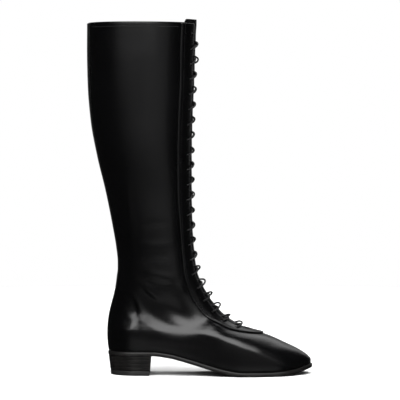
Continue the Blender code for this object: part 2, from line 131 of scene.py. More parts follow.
foot_table = [
    (0.0565, 0.920, 0.4294, 0.995, 0.00, 0.10, 0.355, 0.50, 1.030, 0.210, 1.00, 0.96, 0.56, 0.00),
    (0.0519, 0.832, 0.4420, 0.910, 0.00, 0.22, 0.352, 0.50, 1.010, 0.210, 1.00, 0.98, 0.54, 0.00),
    (0.0466, 0.735, 0.4618, 0.830, 0.00, 0.36, 0.346, 0.49, 0.980, 0.230, 1.02, 0.98, 0.51, 0.00),
    (0.0389, 0.646, 0.4874, 0.742, 0.00, 0.50, 0.336, 0.48, 0.945, 0.255, 1.10, 0.99, 0.48, 0.00),
    (0.0294, 0.562, 0.5229, 0.655, 0.00, 0.64, 0.326, 0.47, 0.915, 0.280, 1.20, 1.01, 0.45, 0.00),
    (0.0198, 0.478, 0.5687, 0.572, 0.02, 0.76, 0.318, 0.46, 0.900, 0.310, 1.32, 1.02, 0.42, 0.00),
    (0.0122, 0.398, 0.6260, 0.508, 0.05, 0.86, 0.315, 0.45, 0.915, 0.335, 1.42, 1.02, 0.39, 0.00),
    (0.0092, 0.345, 0.6950, 0.4485, 0.08, 0.90, 0.315, 0.45, 0.935, 0.350, 1.45, 1.02, 0.37, 0.00),
    (0.0074, 0.316, 0.7220, 0.431, 0.10, 0.94, 0.318, 0.45, 0.950, 0.355, 1.45, 1.02, 0.36, 0.00),
    (0.0062, 0.284, 0.7600, 0.407, 0.13, 0.97, 0.322, 0.45, 0.970, 0.350, 1.45, 1.02, 0.35, 0.00),
    (0.0053, 0.245, 0.8020, 0.370, 0.18, 1.00, 0.330, 0.45, 0.995, 0.320, 1.45, 1.02, 0.34, 0.30),
    (0.0050, 0.186, 0.8640, 0.292, 0.30, 1.00, 0.335, 0.45, 1.015, 0.265, 1.45, 1.02, 0.34, 0.60),
    (0.0057, 0.128, 0.9370, 0.185, 0.45, 1.00, 0.340, 0.45, 1.025, 0.215, 1.45, 1.02, 0.34, 0.90),
    (0.0076, 0.076, 0.9810, 0.088, 0.70, 1.00, 0.344, 0.45, 1.020, 0.180, 1.45, 1.02, 0.34, 1.00),
    (0.0099, 0.036, 0.9930, 0.040, 0.90, 1.00, 0.344, 0.45, 1.005, 0.170, 1.45, 1.02, 0.34, 1.00),
    (0.0126, 0.000, 0.9920, 0.000, 1.00, 1.00, 0.344, 0.45, 0.980, 0.165, 1.45, 1.02, 0.34, 1.00),
]
heel_cap = 0.125
heel_seat = 0.215
upper_edge = 0.6
quarter_cells = 11
foot_stations = (1.0, 0.985, 0.95, 0.905, 0.85, 0.78, 0.72, 0.66, 0.57, 0.48, 0.39, 0.30,
                 0.22, 0.12, 0.04)

# %% [markdown]
# ## The last, as rings
# Each ring is a closed loop round the leg or the foot. A ring's halves come from the
# tables: an oval up the leg, the sole's outline down at the foot, and a blend between.
# The numbered marks on a ring are where leather edges run: the throat's edge, the upper's
# front edge, the facing's rear edge, and the back strip.

# %% Reading tables and paths
def smooth(shares, values, at):
    """A curve through a table that never overshoots its rows."""
    shares = np.asarray(shares, float)
    values = np.asarray(values, float)
    at = np.clip(np.asarray(at, float), shares[0], shares[-1])
    step = np.diff(shares)
    rise = np.diff(values) / step
    slope = np.zeros(len(shares))
    slope[0] = rise[0]
    slope[-1] = rise[-1]
    same_way = rise[:-1] * rise[1:] > 0
    both = np.where(same_way, rise[:-1] + rise[1:], 1.0)
    slope[1:-1] = np.where(same_way, 2 * rise[:-1] * rise[1:] / both, 0.0)
    k = np.clip(np.searchsorted(shares, at, side="right") - 1, 0, len(step) - 1)
    t = (at - shares[k]) / step[k]
    start = (1 + 2 * t) * (1 - t) ** 2 * values[k] + t * (1 - t) ** 2 * step[k] * slope[k]
    end = t * t * (3 - 2 * t) * values[k + 1] + t * t * (t - 1) * step[k] * slope[k + 1]
    return start + end


def run_of(points):
    """Distance run along a path of points."""
    return np.append(0.0, np.cumsum(np.linalg.norm(np.diff(points, axis=0), axis=1)))


def read_along(places, run, points):
    """Points read off a path at distances along it."""
    return np.stack([np.interp(places, run, points[:, k]) for k in range(3)], axis=-1)


def sole_column(name, x):
    """A column of the sole's table, read at places along the foot in metres."""
    table = np.array(sole_table).T
    return smooth(table[0], table[sole_columns.index(name)], np.asarray(x) / foot_length)


def tread(x):
    return heel_height * sole_column("heel_rise", x) + toe_spring * sole_column("toe_rise", x)


def seat(x):
    return tread(x) + outsole_thickness


def cap(t):
    """Round end of an outline, from 0 at the tip to 1."""
    t = np.clip(t, 0.0, 1.0)
    return np.sqrt(t * (2 - t))


# %% Rows of the last, from the collar down
rows = []
for values in leg_table:
    row = dict(zip(leg_columns, values))
    z = heel_height + outsole_thickness + instep_height + row["height"] * shaft_height
    row.update(follow=0.0, foot=0.0, fill=1.0, nose=0.2, spread=0.0, back_z=z, front_z=z)
    rows.append(row)
for values in foot_table:
    row = dict(zip(foot_columns, values))
    for end in ("back", "front"):
        ground = seat(row[end] * foot_length) + sole_gap
        row[end + "_z"] = ground + row[end + "_rise"] * instep_height
    rows.append(row)
feather_row = len(rows) - 1
throat_row = len(leg_table) + 7
vamp_row = throat_row + 1
facing_row = vamp_row + 1
throat_mark, upper_mark, facing_mark = 2, 3, 4
print(len(rows), "rings")


# %% Half a ring, and its marks
def half_ring(row, side):
    """Dense points of half a ring from front centre to back centre, and their run."""
    along = (1 + np.cos(np.linspace(0.0, np.pi, 641))) / 2
    back = row["back"] * foot_length
    front = row["front"] * foot_length
    x = back + along * (front - back)
    widest = row["widest"]
    reach = np.where(along > widest, (along - widest) / (1 - widest), (widest - along) / widest)
    leg = row["half"] * calf_width * np.sqrt(np.clip(1 - reach ** 2, 0, 1))
    heel_end = cap((x - back) / (heel_cap * foot_length))
    front_end = cap((front - x) / (row["nose"] * foot_length))
    edge = sole_column("outer" if side < 0 else "inner", x)
    last = row["fill"] * edge * ball_width * heel_end * front_end
    half = (1 - row["foot"]) * leg + row["foot"] * last
    y = toe_swing * sole_column("swing", x) + side * half
    line = row["back_z"] + along * (row["front_z"] - row["back_z"])
    over_back = row["back_z"] - seat(back)
    over_front = row["front_z"] - seat(front)
    bent = seat(x) + over_back + along * (over_front - over_back)
    z = (1 - row["follow"]) * line + row["follow"] * bent
    points = np.stack([x, y, z], axis=1)
    return points, run_of(points)


def column_marks(row, points, run):
    """Distances along a half ring where the leather's edges and columns stand."""
    edge = throat_width / 2 * row["throat"]
    band = facing_width * row["facing"]
    marks = [0.0, edge / 2, edge, edge + upper_edge * band, edge + band]
    half_stay = stay_width / 2 * row["stay"]
    stay_marks = [run[-1] - half_stay, run[-1] - half_stay / 2, run[-1]]
    quarter = np.linspace(marks[-1], stay_marks[0], quarter_cells + 1)[1:-1]
    high = np.append(marks, quarter)
    low = np.interp(-foot_length * np.array(foot_stations), -points[:, 0], run)
    return np.append(high + row["spread"] * (low - high), stay_marks)


# %% [markdown]
# ## One fine grid for the whole boot
# Leather bends smoothly, so the tables are read at many more places between their rows,
# and each reading makes one more ring. The grid is fine enough for creases a few
# millimetres wide, and coarse enough to render fast.

# %% The fine grid
fine = 6
row_step = 0.0023
half_marks = 18
turns = 2 * (half_marks - 1)
around = turns * fine


def unit(v):
    return v / np.maximum(np.linalg.norm(v, axis=-1, keepdims=True), 1e-12)


def fine_ring(row):
    """A closed ring: front centre, outer side, back centre, inner side."""
    halves = []
    for side in (-1, 1):
        points, run = half_ring(row, side)
        marks = column_marks(row, points, run)
        fine_marks = np.arange((half_marks - 1) * fine + 1) / fine
        halves.append(read_along(np.interp(fine_marks, np.arange(half_marks), marks), run, points))
    return np.vstack([halves[0], halves[1][-2:0:-1]])


knot_rings = np.array([fine_ring(row) for row in rows])
ring_steps = np.linalg.norm(np.diff(knot_rings, axis=0), axis=2).mean(axis=1)
knot_drop = np.append(0.0, np.cumsum(ring_steps))
drops = [0.0]
for k in range(len(rows) - 1):
    count = max(2, int(round((knot_drop[k + 1] - knot_drop[k]) / row_step)))
    drops += list(np.linspace(knot_drop[k], knot_drop[k + 1], count + 1)[1:])
drops = np.array(drops)
origin = np.array([(rows[feather_row]["back"] * foot_length + tread_inset
                    + heel_seat * foot_length - heel_undercut) / 2, 0.0, 0.0])
ring_names = [name for name in rows[0] if name in rows[-1]]
between = {name: smooth(knot_drop, [row[name] for row in rows], drops) for name in ring_names}
last_grid = np.array([fine_ring({name: between[name][k] for name in ring_names})
                      for k in range(len(drops))]) - origin
print("grid", last_grid.shape[:2], "from collar to feather edge", round(drops[-1], 4), "m")


def grid_normals(points):
    across = np.roll(points, -1, axis=1) - np.roll(points, 1, axis=1)
    down = np.gradient(points, axis=0)
    return unit(np.cross(across, down))


last_normals = grid_normals(last_grid)
collar_drop = knot_drop[1]

# %% [markdown]
# ## Creases
# A worn boot folds at the ankle, and its stiff heel cup shows as a ridge. Each crease is
# a line drawn on the side view, in shares of the foot's length and of the instep's height
# over the heel seat. A trough or a ridge fades to both sides of its line and at its ends.
# The inner side gets its own set, because leather never folds the same on both sides.

# %% Crease lines
under_ankle = ((.140, .60), (.190, .56), (.240, .50), (.330, .45), (.420, .44))
back_ridge = ((.088, 2.10), (.108, 1.60), (.120, 1.20), (.126, .95), (.120, .74))
# side (-1 is the outer one), height, width, and the line as (along the foot, up the instep)
crease_table = [
    # the hollow under the ankle, on both sides
    (-1, -0.0003, 0.0140, under_ankle),
    (1, -0.0012, 0.0140, under_ankle),
    # the lower leg is flat at the side and turns sharply to the back along a soft ridge
    (-1, 0.0010, 0.0055, back_ridge),
    (1, 0.0007, 0.0055, back_ridge),
    # heel cup: valley in front of it, with a soft lip behind
    (-1, -0.0006, 0.0027, ((.100, .70), (.122, .60), (.146, .49), (.155, .38), (.160, .20),
                           (.161, .02))),
    (-1, 0.0006, 0.0034, ((.112, .70), (.140, .59), (.156, .51), (.172, .45), (.185, .40))),
    (-1, 0.0009, 0.0060, ((.080, .52), (.108, .44), (.124, .34), (.128, .20), (.130, .05))),
    # the long arc fold over the ankle
    (-1, -0.0007, 0.0046, ((.145, .92), (.206, .805), (.254, .76), (.300, .75), (.362, .75))),
    (-1, 0.0007, 0.0055, ((.170, .96), (.232, .865), (.300, .835), (.368, .83))),
    # the slanting fold below it
    (-1, -0.0008, 0.0042, ((.138, .74), (.180, .67), (.216, .59), (.262, .53))),
    (-1, 0.0006, 0.0042, ((.165, .78), (.210, .68), (.250, .615), (.290, .60))),
    # the fold that runs down behind the facing
    (-1, -0.0008, 0.0055, ((.365, .80), (.392, .71), (.426, .60), (.462, .50))),
    (-1, 0.0005, 0.0050, ((.300, .78), (.350, .73), (.395, .64))),
    # soft rolls across the lower leg
    (-1, 0.00040, 0.0045, ((.115, 1.245), (.170, 1.225), (.220, 1.20), (.290, 1.215),
                           (.350, 1.235))),
    (-1, -0.00020, 0.0045, ((.115, 1.17), (.160, 1.155), (.215, 1.135), (.290, 1.14))),
    (-1, -0.00030, 0.0060, ((.120, 1.09), (.200, 1.075), (.300, 1.10), (.345, 1.12))),
    (-1, 0.00025, 0.0060, ((.120, 1.15), (.200, 1.13), (.300, 1.14), (.345, 1.16))),
    (-1, -0.00025, 0.0050, ((.130, 1.45), (.200, 1.43), (.260, 1.45), (.330, 1.47))),
    # the inner side
    (1, -0.0014, 0.0042, ((.098, .68), (.122, .58), (.156, .47), (.172, .34), (.180, .18),
                          (.182, .02))),
    (1, -0.0012, 0.0040, ((.130, .98), (.190, .90), (.250, .84), (.330, .83))),
    (1, 0.0010, 0.0050, ((.160, 1.02), (.220, .955), (.290, .90), (.350, .89))),
    (1, -0.0012, 0.0032, ((.150, .70), (.200, .64), (.250, .56), (.290, .52))),
    (1, 0.0007, 0.0042, ((.170, .75), (.220, .685), (.270, .62), (.310, .59))),
    (1, -0.0010, 0.0050, ((.360, .76), (.395, .68), (.430, .58))),
    (1, 0.0006, 0.0050, ((.120, 1.30), (.200, 1.28), (.280, 1.30), (.340, 1.33))),
    (1, -0.0006, 0.0044, ((.110, 1.24), (.190, 1.22), (.280, 1.24))),
    (1, -0.0004, 0.0060, ((.130, 1.12), (.220, 1.10), (.330, 1.13))),
]

# %% Troughs and ridges round a line
def ease(t):
    t = np.clip(t, 0.0, 1.0)
    return t * t * (3 - 2 * t)


def side_view(along, up):
    """A place on the side view, in metres of the frame."""
    return np.array([along * foot_length - origin[0],
                     heel_height + outsole_thickness + up * instep_height])


def crease_relief(flat, line, height, width):
    """Trough or ridge round a line of the side view, fading out over its ends."""
    points = np.array([side_view(*spot) for spot in line])
    lengths = np.linalg.norm(np.diff(points, axis=0), axis=1)
    starts = run_of(points)
    best = np.full(flat.shape[:-1], 1e9)
    run = np.zeros(flat.shape[:-1])
    for k in range(len(lengths)):
        way = (points[k + 1] - points[k]) / lengths[k]
        t = np.clip((flat - points[k]) @ way, 0, lengths[k])
        far = np.linalg.norm(flat - (points[k] + t[..., None] * way), axis=-1)
        nearer = far < best
        best = np.where(nearer, far, best)
        run = np.where(nearer, starts[k] + t, run)
    fade = 0.38 * starts[-1]
    ends = ease(run / fade) * ease((starts[-1] - run) / fade)
    return height * ends * np.exp(-(best / width) ** 2)


# %% [markdown]
# ## Dents and swellings
# Between the creases the leather is dented where nothing fills the boot, and the foot
# swells out below the ankle. A dent is one soft hollow. A swelling is a low step: its
# sloped face looks upwards, so it mirrors the light above and draws the bright band there.

# %% Dents, and the step over the foot
# side, height, centre along and up, length, height on the side view, and lean
dent_table = [
    (-1, -0.0022, .343, .455, .062, .105, -0.8),
    (1, -0.0020, .345, .460, .055, .110, -0.8),
    (1, 0.0010, .115, .240, .030, .120, 0.0),
    (-1, -0.0008, .235, 1.75, .120, .260, 0.1),
    (-1, 0.0008, .180, 2.35, .100, .300, 0.2),
    (1, -0.0009, .210, 1.95, .120, .280, -0.1),
]
# side, height, half the width of the slope, and the line that the foot swells out below
swell_table = [
    (-1, 0.0034, 0.0115, ((.050, .27), (.100, .30), (.135, .37), (.160, .43), (.185, .41),
                          (.240, .32), (.309, .228), (.360, .200), (.400, .22), (.458, .28),
                          (.508, .35), (.600, .30))),
    (-1, 0.0013, 0.0080, ((.128, .44), (.160, .56), (.185, .51), (.225, .40))),
    (1, 0.0024, 0.0100, ((.060, .50), (.110, .48), (.179, .43), (.240, .35), (.309, .27),
                         (.382, .29), (.458, .33), (.508, .35), (.600, .30))),
]


def dent_relief(flat, height, along, up, length, tall, lean):
    centre = side_view(along, up)
    dx = (flat[..., 0] - centre[0]) / (length * foot_length)
    dz = (flat[..., 1] - centre[1]) / (tall * instep_height)
    return height * np.exp(-(dx ** 2 + (dz - lean * dx) ** 2))


def swell_relief(flat, line, height, width):
    """A step out below a line of the side view, fading again towards the sole."""
    points = np.array([side_view(*spot) for spot in line])
    level_at = smooth(points[:, 0], points[:, 1], flat[..., 0])
    below = ease(0.5 + (level_at - flat[..., 1]) / (2 * width))
    low = ease((flat[..., 1] - 0.030) / 0.034)
    first = ease((flat[..., 0] - points[0, 0]) / 0.012)
    return height * below * low * (first * ease((points[-1, 0] - flat[..., 0]) / 0.020))


# %% The creased skin
relief = np.zeros(last_grid.shape[:2])
flat_view = last_grid[..., [0, 2]]
marks_round = np.arange(around) / fine
# creases fade out over the facing in front and the back strip behind
from_front = np.minimum(marks_round, turns - marks_round)
side_fade = ease((from_front - 2.0) / 3.0) * ease((half_marks - 1 - from_front - 1.0) / 3.0)
outer_side = marks_round < turns / 2
on_side = {-1: outer_side * side_fade, 1: ~outer_side * side_fade}
for side, height, width, line in crease_table:
    relief += on_side[side] * crease_relief(flat_view, line, height, width)
for side, *dent in dent_table:
    relief += on_side[side] * dent_relief(flat_view, *dent)
for side, height, width, line in swell_table:
    relief += on_side[side] * swell_relief(flat_view, line, height, width)
print("relief in mm from", round(relief.min() * 1000, 2), "to", round(relief.max() * 1000, 2))
skin_grid = last_grid + last_normals * relief[..., None]
skin_normals = grid_normals(skin_grid)

# %% [markdown]
# ## Finding places on the boot
# Every strip, hole, stitch and lace is placed with the same two numbers: how far down from
# the collar, and how far round from the front's centre line. The helpers here turn those
# into a point on the creased skin and the direction straight out of it.

# %% Places on the skin
front_drop = run_of(last_grid[:, 0])
front_drop -= np.interp(collar_drop, drops, front_drop)
front_marks = 6
ring_run = {}
for side in (-1, 1):
    picked = -side * np.arange(front_marks * fine + 1)
    stretch = last_grid[:, picked]
    steps = np.linalg.norm(np.diff(stretch, axis=1), axis=2)
    ring_run[side] = np.concatenate([np.zeros((len(drops), 1)), np.cumsum(steps, axis=1)], axis=1)


def sample(field, row_at, column_at):
    """Values of a grid field between its rows and columns."""
    r = np.clip(row_at, 0, len(drops) - 1.000001)
    r0 = np.floor(r).astype(int)
    c0 = np.floor(column_at).astype(int)
    tr = r - r0
    tc = column_at - c0
    if field.ndim == 3:
        tr, tc = tr[..., None], tc[..., None]
    a = field[r0, c0 % around] * (1 - tc) + field[r0, (c0 + 1) % around] * tc
    b = field[r0 + 1, c0 % around] * (1 - tc) + field[r0 + 1, (c0 + 1) % around] * tc
    return a * (1 - tr) + b * tr


def front_places(down, arc):
    """Grid row and column of places near the front, from distances down and round."""
    down, arc = np.broadcast_arrays(np.asarray(down, float), np.asarray(arc, float))
    row_at = np.interp(down, front_drop, np.arange(len(drops)))
    column_at = np.zeros(down.shape)
    r0 = np.clip(np.floor(row_at).astype(int), 0, len(drops) - 2)
    for side in (-1, 1):
        mine = (arc < 0) if side < 0 else (arc >= 0)
        r = r0[mine]
        t = (row_at[mine] - r)[:, None]
        run = ring_run[side][r] * (1 - t) + ring_run[side][r + 1] * t
        far = np.abs(arc[mine])[:, None]
        k = np.clip((run <= far).sum(axis=1) - 1, 0, run.shape[1] - 2)
        low = np.take_along_axis(run, k[:, None], 1)[:, 0]
        high = np.take_along_axis(run, k[:, None] + 1, 1)[:, 0]
        column_at[mine] = -side * (k + (far[:, 0] - low) / (high - low))
    return row_at, column_at % around


def off_skin(row_at, column_at, height):
    """Points a height over the skin, and the directions out of it."""
    out = unit(sample(skin_normals, row_at, column_at))
    return sample(skin_grid, row_at, column_at) + out * np.asarray(height)[..., None], out


def on_front(down, arc, height):
    """As off_skin, from distances down the front and round from its centre."""
    return off_skin(*front_places(down, arc), height)


def on_skin(drop, mark, height):
    """As off_skin, from the mean drop and the number of the column mark."""
    drop, mark = np.broadcast_arrays(np.asarray(drop, float), np.asarray(mark, float))
    row_at = np.interp(drop, drops, np.arange(len(drops)))
    return off_skin(row_at, (mark * fine) % around, height)


def mark_arc(down, mark):
    """Distance round from the front centre to a mark, averaged over both sides."""
    row_at = np.interp(down, front_drop, np.arange(len(drops)))
    both = (ring_run[-1][:, mark * fine] + ring_run[1][:, mark * fine]) / 2
    return np.interp(row_at, np.arange(len(drops)), both)


# %% [markdown]
# ## Surfaces
# Black shoe leather is smooth but never flat: it has pores, a fine grain, and patches that
# were polished more than others. Blender makes that from noise: small cells push the light
# about through a bump, and slow noise changes the roughness. Nothing is painted from a
# picture.

# %% Finishes
def links(material):
    tree = material.node_tree
    return tree.nodes, tree.links


def new_surface(name, colour, roughness):
    made = bpy.data.materials.new(name)
    made.use_nodes = True
    surface = made.node_tree.nodes["Principled BSDF"]
    surface.inputs["Base Color"].default_value = (*colour, 1.0)
    surface.inputs["Roughness"].default_value = roughness
    return made, surface


def add(material, kind, **sockets):
    """A node with its sockets set by name."""
    nodes, _ = links(material)
    node = nodes.new(kind)
    for name, value in sockets.items():
        node.inputs[name.replace("_", " ")].default_value = value
    return node


def noise(material, scale, detail=3.0, kind="ShaderNodeTexNoise"):
    """Noise in the piece's own space, so it stays put when the boot moves."""
    nodes, join = links(material)
    place = nodes.get("place") or nodes.new("ShaderNodeTexCoord")
    place.name = "place"
    node = nodes.new(kind)
    node.inputs["Scale"].default_value = scale
    if "Detail" in node.inputs:
        node.inputs["Detail"].default_value = detail
    join.new(place.outputs["Object"], node.inputs["Vector"])
    return node


def spread(material, source, low, high, start=0.35, end=0.65):
    """Maps a 0..1 value onto a range."""
    _, join = links(material)
    node = add(material, "ShaderNodeMapRange", From_Min=start, From_Max=end, To_Min=low,
               To_Max=high)
    join.new(source, node.inputs["Value"])
    return node.outputs["Result"]


def tint(material, source, dark, light, start=0.35, end=0.65):
    """Maps a 0..1 value onto two colours."""
    nodes, join = links(material)
    ramp = nodes.new("ShaderNodeValToRGB")
    for stop, place, colour in zip(ramp.color_ramp.elements, (start, end), (dark, light)):
        stop.position = place
        stop.color = (*colour, 1)
    join.new(source, ramp.inputs["Fac"])
    return ramp.outputs["Color"]


def bump(material, source, depth, strength=1.0, under=None):
    """A bump of a depth in metres, stacked on another bump."""
    _, join = links(material)
    node = add(material, "ShaderNodeBump", Strength=strength, Distance=depth)
    join.new(source, node.inputs["Height"])
    if under is not None:
        join.new(under.outputs["Normal"], node.inputs["Normal"])
    return node


# %% [markdown]
# Two recipes serve for the whole boot. Calf for the upper parts is polished and gets a thin
# clear coat. The plain recipe is for lining, sole, heel, rubber, thread and paper: patches
# of two tones and a fine grain.

# %% Two recipes
def plain_finish(name, base, roughness, cloud, dark, light, grain, depth, dull=None):
    """Patches of two tones and grain; cloud and grain are a noise's scale and detail."""
    made, surface = new_surface(name, base, roughness)
    _, join = links(made)
    patches = noise(made, *cloud).outputs["Fac"]
    join.new(tint(made, patches, dark, light), surface.inputs["Base Color"])
    if dull is not None:
        join.new(spread(made, patches, *dull), surface.inputs["Roughness"])
    relief = bump(made, noise(made, *grain).outputs["Fac"], depth)
    join.new(relief.outputs["Normal"], surface.inputs["Normal"])
    return made


def calf_leather(name, dark, light, shine, dull, grain_depth, coat):
    """Smooth dyed calf with pores and polish that varies."""
    made, surface = new_surface(name, dark, shine)
    _, join = links(made)
    cloud = noise(made, 16.0, 4.0).outputs["Fac"]
    join.new(tint(made, cloud, dark, light, 0.15, 0.85), surface.inputs["Base Color"])
    join.new(spread(made, cloud, shine, dull, 0.15, 0.85), surface.inputs["Roughness"])
    pores = noise(made, 1500.0, kind="ShaderNodeTexVoronoi")
    waves = noise(made, 240.0, 5.0)
    low = bump(made, waves.outputs["Fac"], 0.0001)
    fine_bump = bump(made, pores.outputs["Distance"], grain_depth, under=low)
    join.new(fine_bump.outputs["Normal"], surface.inputs["Normal"])
    surface.inputs["Coat Weight"].default_value = coat
    surface.inputs["Coat Roughness"].default_value = 0.14
    return made


dyed, worn = (0.0005, 0.0005, 0.0006), (0.0011, 0.0011, 0.0013)
shaft_calf = calf_leather("shaft_calf", dyed, worn, 0.20, 0.26, 0.00005, 0.20)
facing_calf = calf_leather("facing_calf", dyed, worn, 0.25, 0.32, 0.00004, 0.10)
stay_calf = calf_leather("stay_calf", dyed, (0.0012, 0.0012, 0.0014), 0.22, 0.30, 0.00004, 0.20)
tongue_calf = calf_leather("tongue_calf", (0.0012, 0.0012, 0.0014), (0.0024, 0.0024, 0.0027),
                           0.34, 0.45, 0.00008, 0.05)
print("leathers:", shaft_calf.name, facing_calf.name, stay_calf.name, tongue_calf.name)


# %% [markdown]
# ## Cut leather, as plates
# A plate is a patch of the skin with a top and an underside. Its edges are rounded, as
# when a shoemaker pares and dyes them, and where it is punched it has real holes. The
# grid's corners round each hole are moved onto the hole's circle, so no boolean is needed.

# %% Plates
def piece_from(name, points, faces, finishes, sharp, face_finish=None):
    """A finished object from points and faces, riding on the boot."""
    mesh = bpy.data.meshes.new(name)
    mesh.from_pydata([tuple(p) for p in points], [], [tuple(int(i) for i in f) for f in faces])
    body = bmesh.new()
    body.from_mesh(mesh)
    bmesh.ops.recalc_face_normals(body, faces=body.faces)
    body.to_mesh(mesh)
    body.free()
    for finish in finishes:
        mesh.materials.append(finish)
    if face_finish is not None:
        mesh.polygons.foreach_set("material_index", np.asarray(face_finish, np.int32))
    mesh.polygons.foreach_set("use_smooth", np.ones(len(mesh.polygons), bool))
    mesh.set_sharp_from_angle(angle=np.radians(sharp))
    made = bpy.data.objects.new(name, mesh)
    bpy.context.collection.objects.link(made)
    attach(made, "root")
    print(name, len(mesh.polygons), "faces")
    return made


def plate_mesh(top, under, keep, closed=False):
    """Two layers of a grid joined along every edge of the kept cells."""
    wide = top.shape[1]
    count = top.shape[0] * wide
    points = np.vstack([top.reshape(-1, 3), under.reshape(-1, 3)])
    cells = {(int(i), int(j)) for i, j in zip(*np.nonzero(keep))}
    span = wide if closed else wide + 1

    def number(i, j):
        return i * wide + (j % wide if closed else j)

    faces, kinds = [], []
    for i, j in sorted(cells):
        loop = [(i, j), (i + 1, j), (i + 1, j + 1), (i, j + 1)]
        ids = [number(*spot) for spot in loop]
        faces.append(ids)
        kinds.append(0)
        faces.append([count + n for n in reversed(ids)])
        kinds.append(1)
        for k, (a, b) in enumerate([(i, j - 1), (i + 1, j), (i, j + 1), (i - 1, j)]):
            beside = (a, b % span) if closed else (a, b)
            if beside not in cells:
                p, q = ids[k], ids[(k + 1) % 4]
                faces.append([q, p, count + p, count + q])
                kinds.append(2)
    used = np.unique(np.concatenate([np.array(f) for f in faces]))
    renumber = np.zeros(len(points), int)
    renumber[used] = np.arange(len(used))
    return points[used], [[renumber[i] for i in f] for f in faces], kinds


def plate(name, top, under, finishes, keep=None, sharp=50.0, closed=False):
    """A piece of leather; a second finish is for its underside."""
    if keep is None:
        keep = np.ones((top.shape[0] - 1, top.shape[1] - 1), bool)
    points, faces, kinds = plate_mesh(top, under, keep, closed)
    below = [1 if kind == 1 else 0 for kind in kinds] if len(finishes) > 1 else None
    return piece_from(name, points, faces, finishes, sharp, below)


def edge_rounding(distance, radius, depth):
    """How much a top drops near a rounded edge."""
    t = np.clip(distance / radius, 0, 1)
    return depth * (1 - np.sqrt(1 - (1 - t) ** 2))


# %% [markdown]
# ## The upper
# The upper is one hollow skin, open at the collar, up the throat and underneath, where it
# is turned in over the insole. It has two layers two millimetres apart: dyed calf outside
# and a plain lining inside. The collar's edge is folded over, so it is made round.

# %% The upper's shell
lining = plain_finish("calf_lining", (0.030, 0.027, 0.025), 0.6, (40.0, 4.0),
                      (0.022, 0.020, 0.018), (0.040, 0.036, 0.032), (900.0, 2.0), 0.0002)
collar_index = int(np.argmin(np.abs(drops - collar_drop)))
throat_index = int(np.argmin(np.abs(drops - knot_drop[vamp_row])))
shell_rows = skin_grid[collar_index:]
shell_out = skin_normals[collar_index:]
up_edge = unit(shell_rows[0] - shell_rows[1])
rim_steps = ((0.00098, 0.0006), (0.0008, 0.0003), (0.0004, 0.00008))
rim_rows = [(shell_rows[0] + up_edge * rise, drop_in) for rise, drop_in in rim_steps]
rim_top = [row - shell_out[0] * drop_in for row, drop_in in rim_rows]
rim_under = [row - shell_out[0] * (wall - drop_in) for row, drop_in in rim_rows]
shell_top = np.concatenate([rim_top, shell_rows])
shell_under = np.concatenate([rim_under, shell_rows - shell_out * wall])
tangent = unit(np.roll(shell_rows[-1], -1, axis=0) - np.roll(shell_rows[-1], 1, axis=0))
inward = np.stack([tangent[:, 1], -tangent[:, 0], np.zeros(around)], axis=1)
for inset in (0.0005, 0.0035, 0.0070):
    turned = shell_rows[-1] + inward * inset
    turned[:, 2] = seat(turned[:, 0] + origin[0]) + sole_gap
    shell_top = np.concatenate([shell_top, [turned]])
    shell_under = np.concatenate([shell_under, [turned + np.array([0, 0, wall])]])
shell_top[len(rim_steps) + len(shell_rows) - 1] += np.array([0, 0, 0.0006])
keep = np.ones((shell_top.shape[0] - 1, around), bool)
open_rows = throat_index - collar_index + len(rim_steps)
keep[:open_rows, : upper_mark * fine] = False
keep[:open_rows, around - upper_mark * fine:] = False
upper = plate("boot_upper", shell_top, shell_under, [shaft_calf, lining],
              keep, closed=True)
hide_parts("upper")

# %% [markdown]
# ## The facing
# The facing is the band that carries the lace holes. It runs down one side of the throat,
# round its foot and up the other side, so it is made as one band in two numbers: how far
# along it, and how far across. Its rear edge is folded over a cord, which stands up as the
# bright line beside the lace holes.

# %% Lines down and across the facing
hole_down = first_hole_drop + lace_pitch * np.arange(hole_pairs)
throat_end = float(np.interp(knot_drop[throat_row], drops, front_drop))
facing_end = float(np.interp(knot_drop[facing_row], drops, front_drop))
bend_start = throat_end - 0.016
print("throat ends", round(throat_end, 4), "facing ends", round(facing_end, 4))


def hole_arc(down):
    """Distance round from the front centre to a lace hole."""
    return mark_arc(down, throat_mark) + hole_inset


# lines stand close together round each hole, and wider between the holes
hole_reach = 0.0028
edge_lines = (0.0, 0.00015, 0.0005, 0.001)
leg_lines = list(edge_lines)
start = 0.0
for centre in hole_down:
    if start < bend_start:
        low, high = centre - hole_reach, centre + hole_reach
        count = max(1, int(round((low - start) / 0.0022)))
        leg_lines += list(np.linspace(start, low, count, endpoint=False))
        leg_lines += list(np.linspace(low, high, 8, endpoint=False))
        start = high
leg_lines += list(np.linspace(start, bend_start, 6, endpoint=False))
leg_lines = np.unique(np.round([line for line in leg_lines if line in edge_lines
                                or 0.0015 < line < bend_start], 6))
turn_angles = np.linspace(0.0, np.pi / 2, 26)
width_share = facing_width * 1.1
across = np.concatenate([
    edge_lines, np.linspace(0.0018, 0.0047, 3, endpoint=False), np.linspace(0.0047, 0.0103, 8),
    np.linspace(0.0118, width_share - 0.0058, 5),
    width_share - np.array([.0048, .0040, .0032, .0025, .0018, .0012, .0006, .0002, 0])])
across_share = across / width_share


def band_place(share, down):
    """Distance round to a share of the facing's width; the holes' inset stays as it is."""
    inner = mark_arc(down, throat_mark)
    outer = mark_arc(down, facing_mark)
    width = outer - inner
    fixed = share * width_share
    stretch = np.clip((fixed - 0.0105) / (width_share - 0.0105), 0, None) * (width - width_share)
    return inner + fixed + stretch


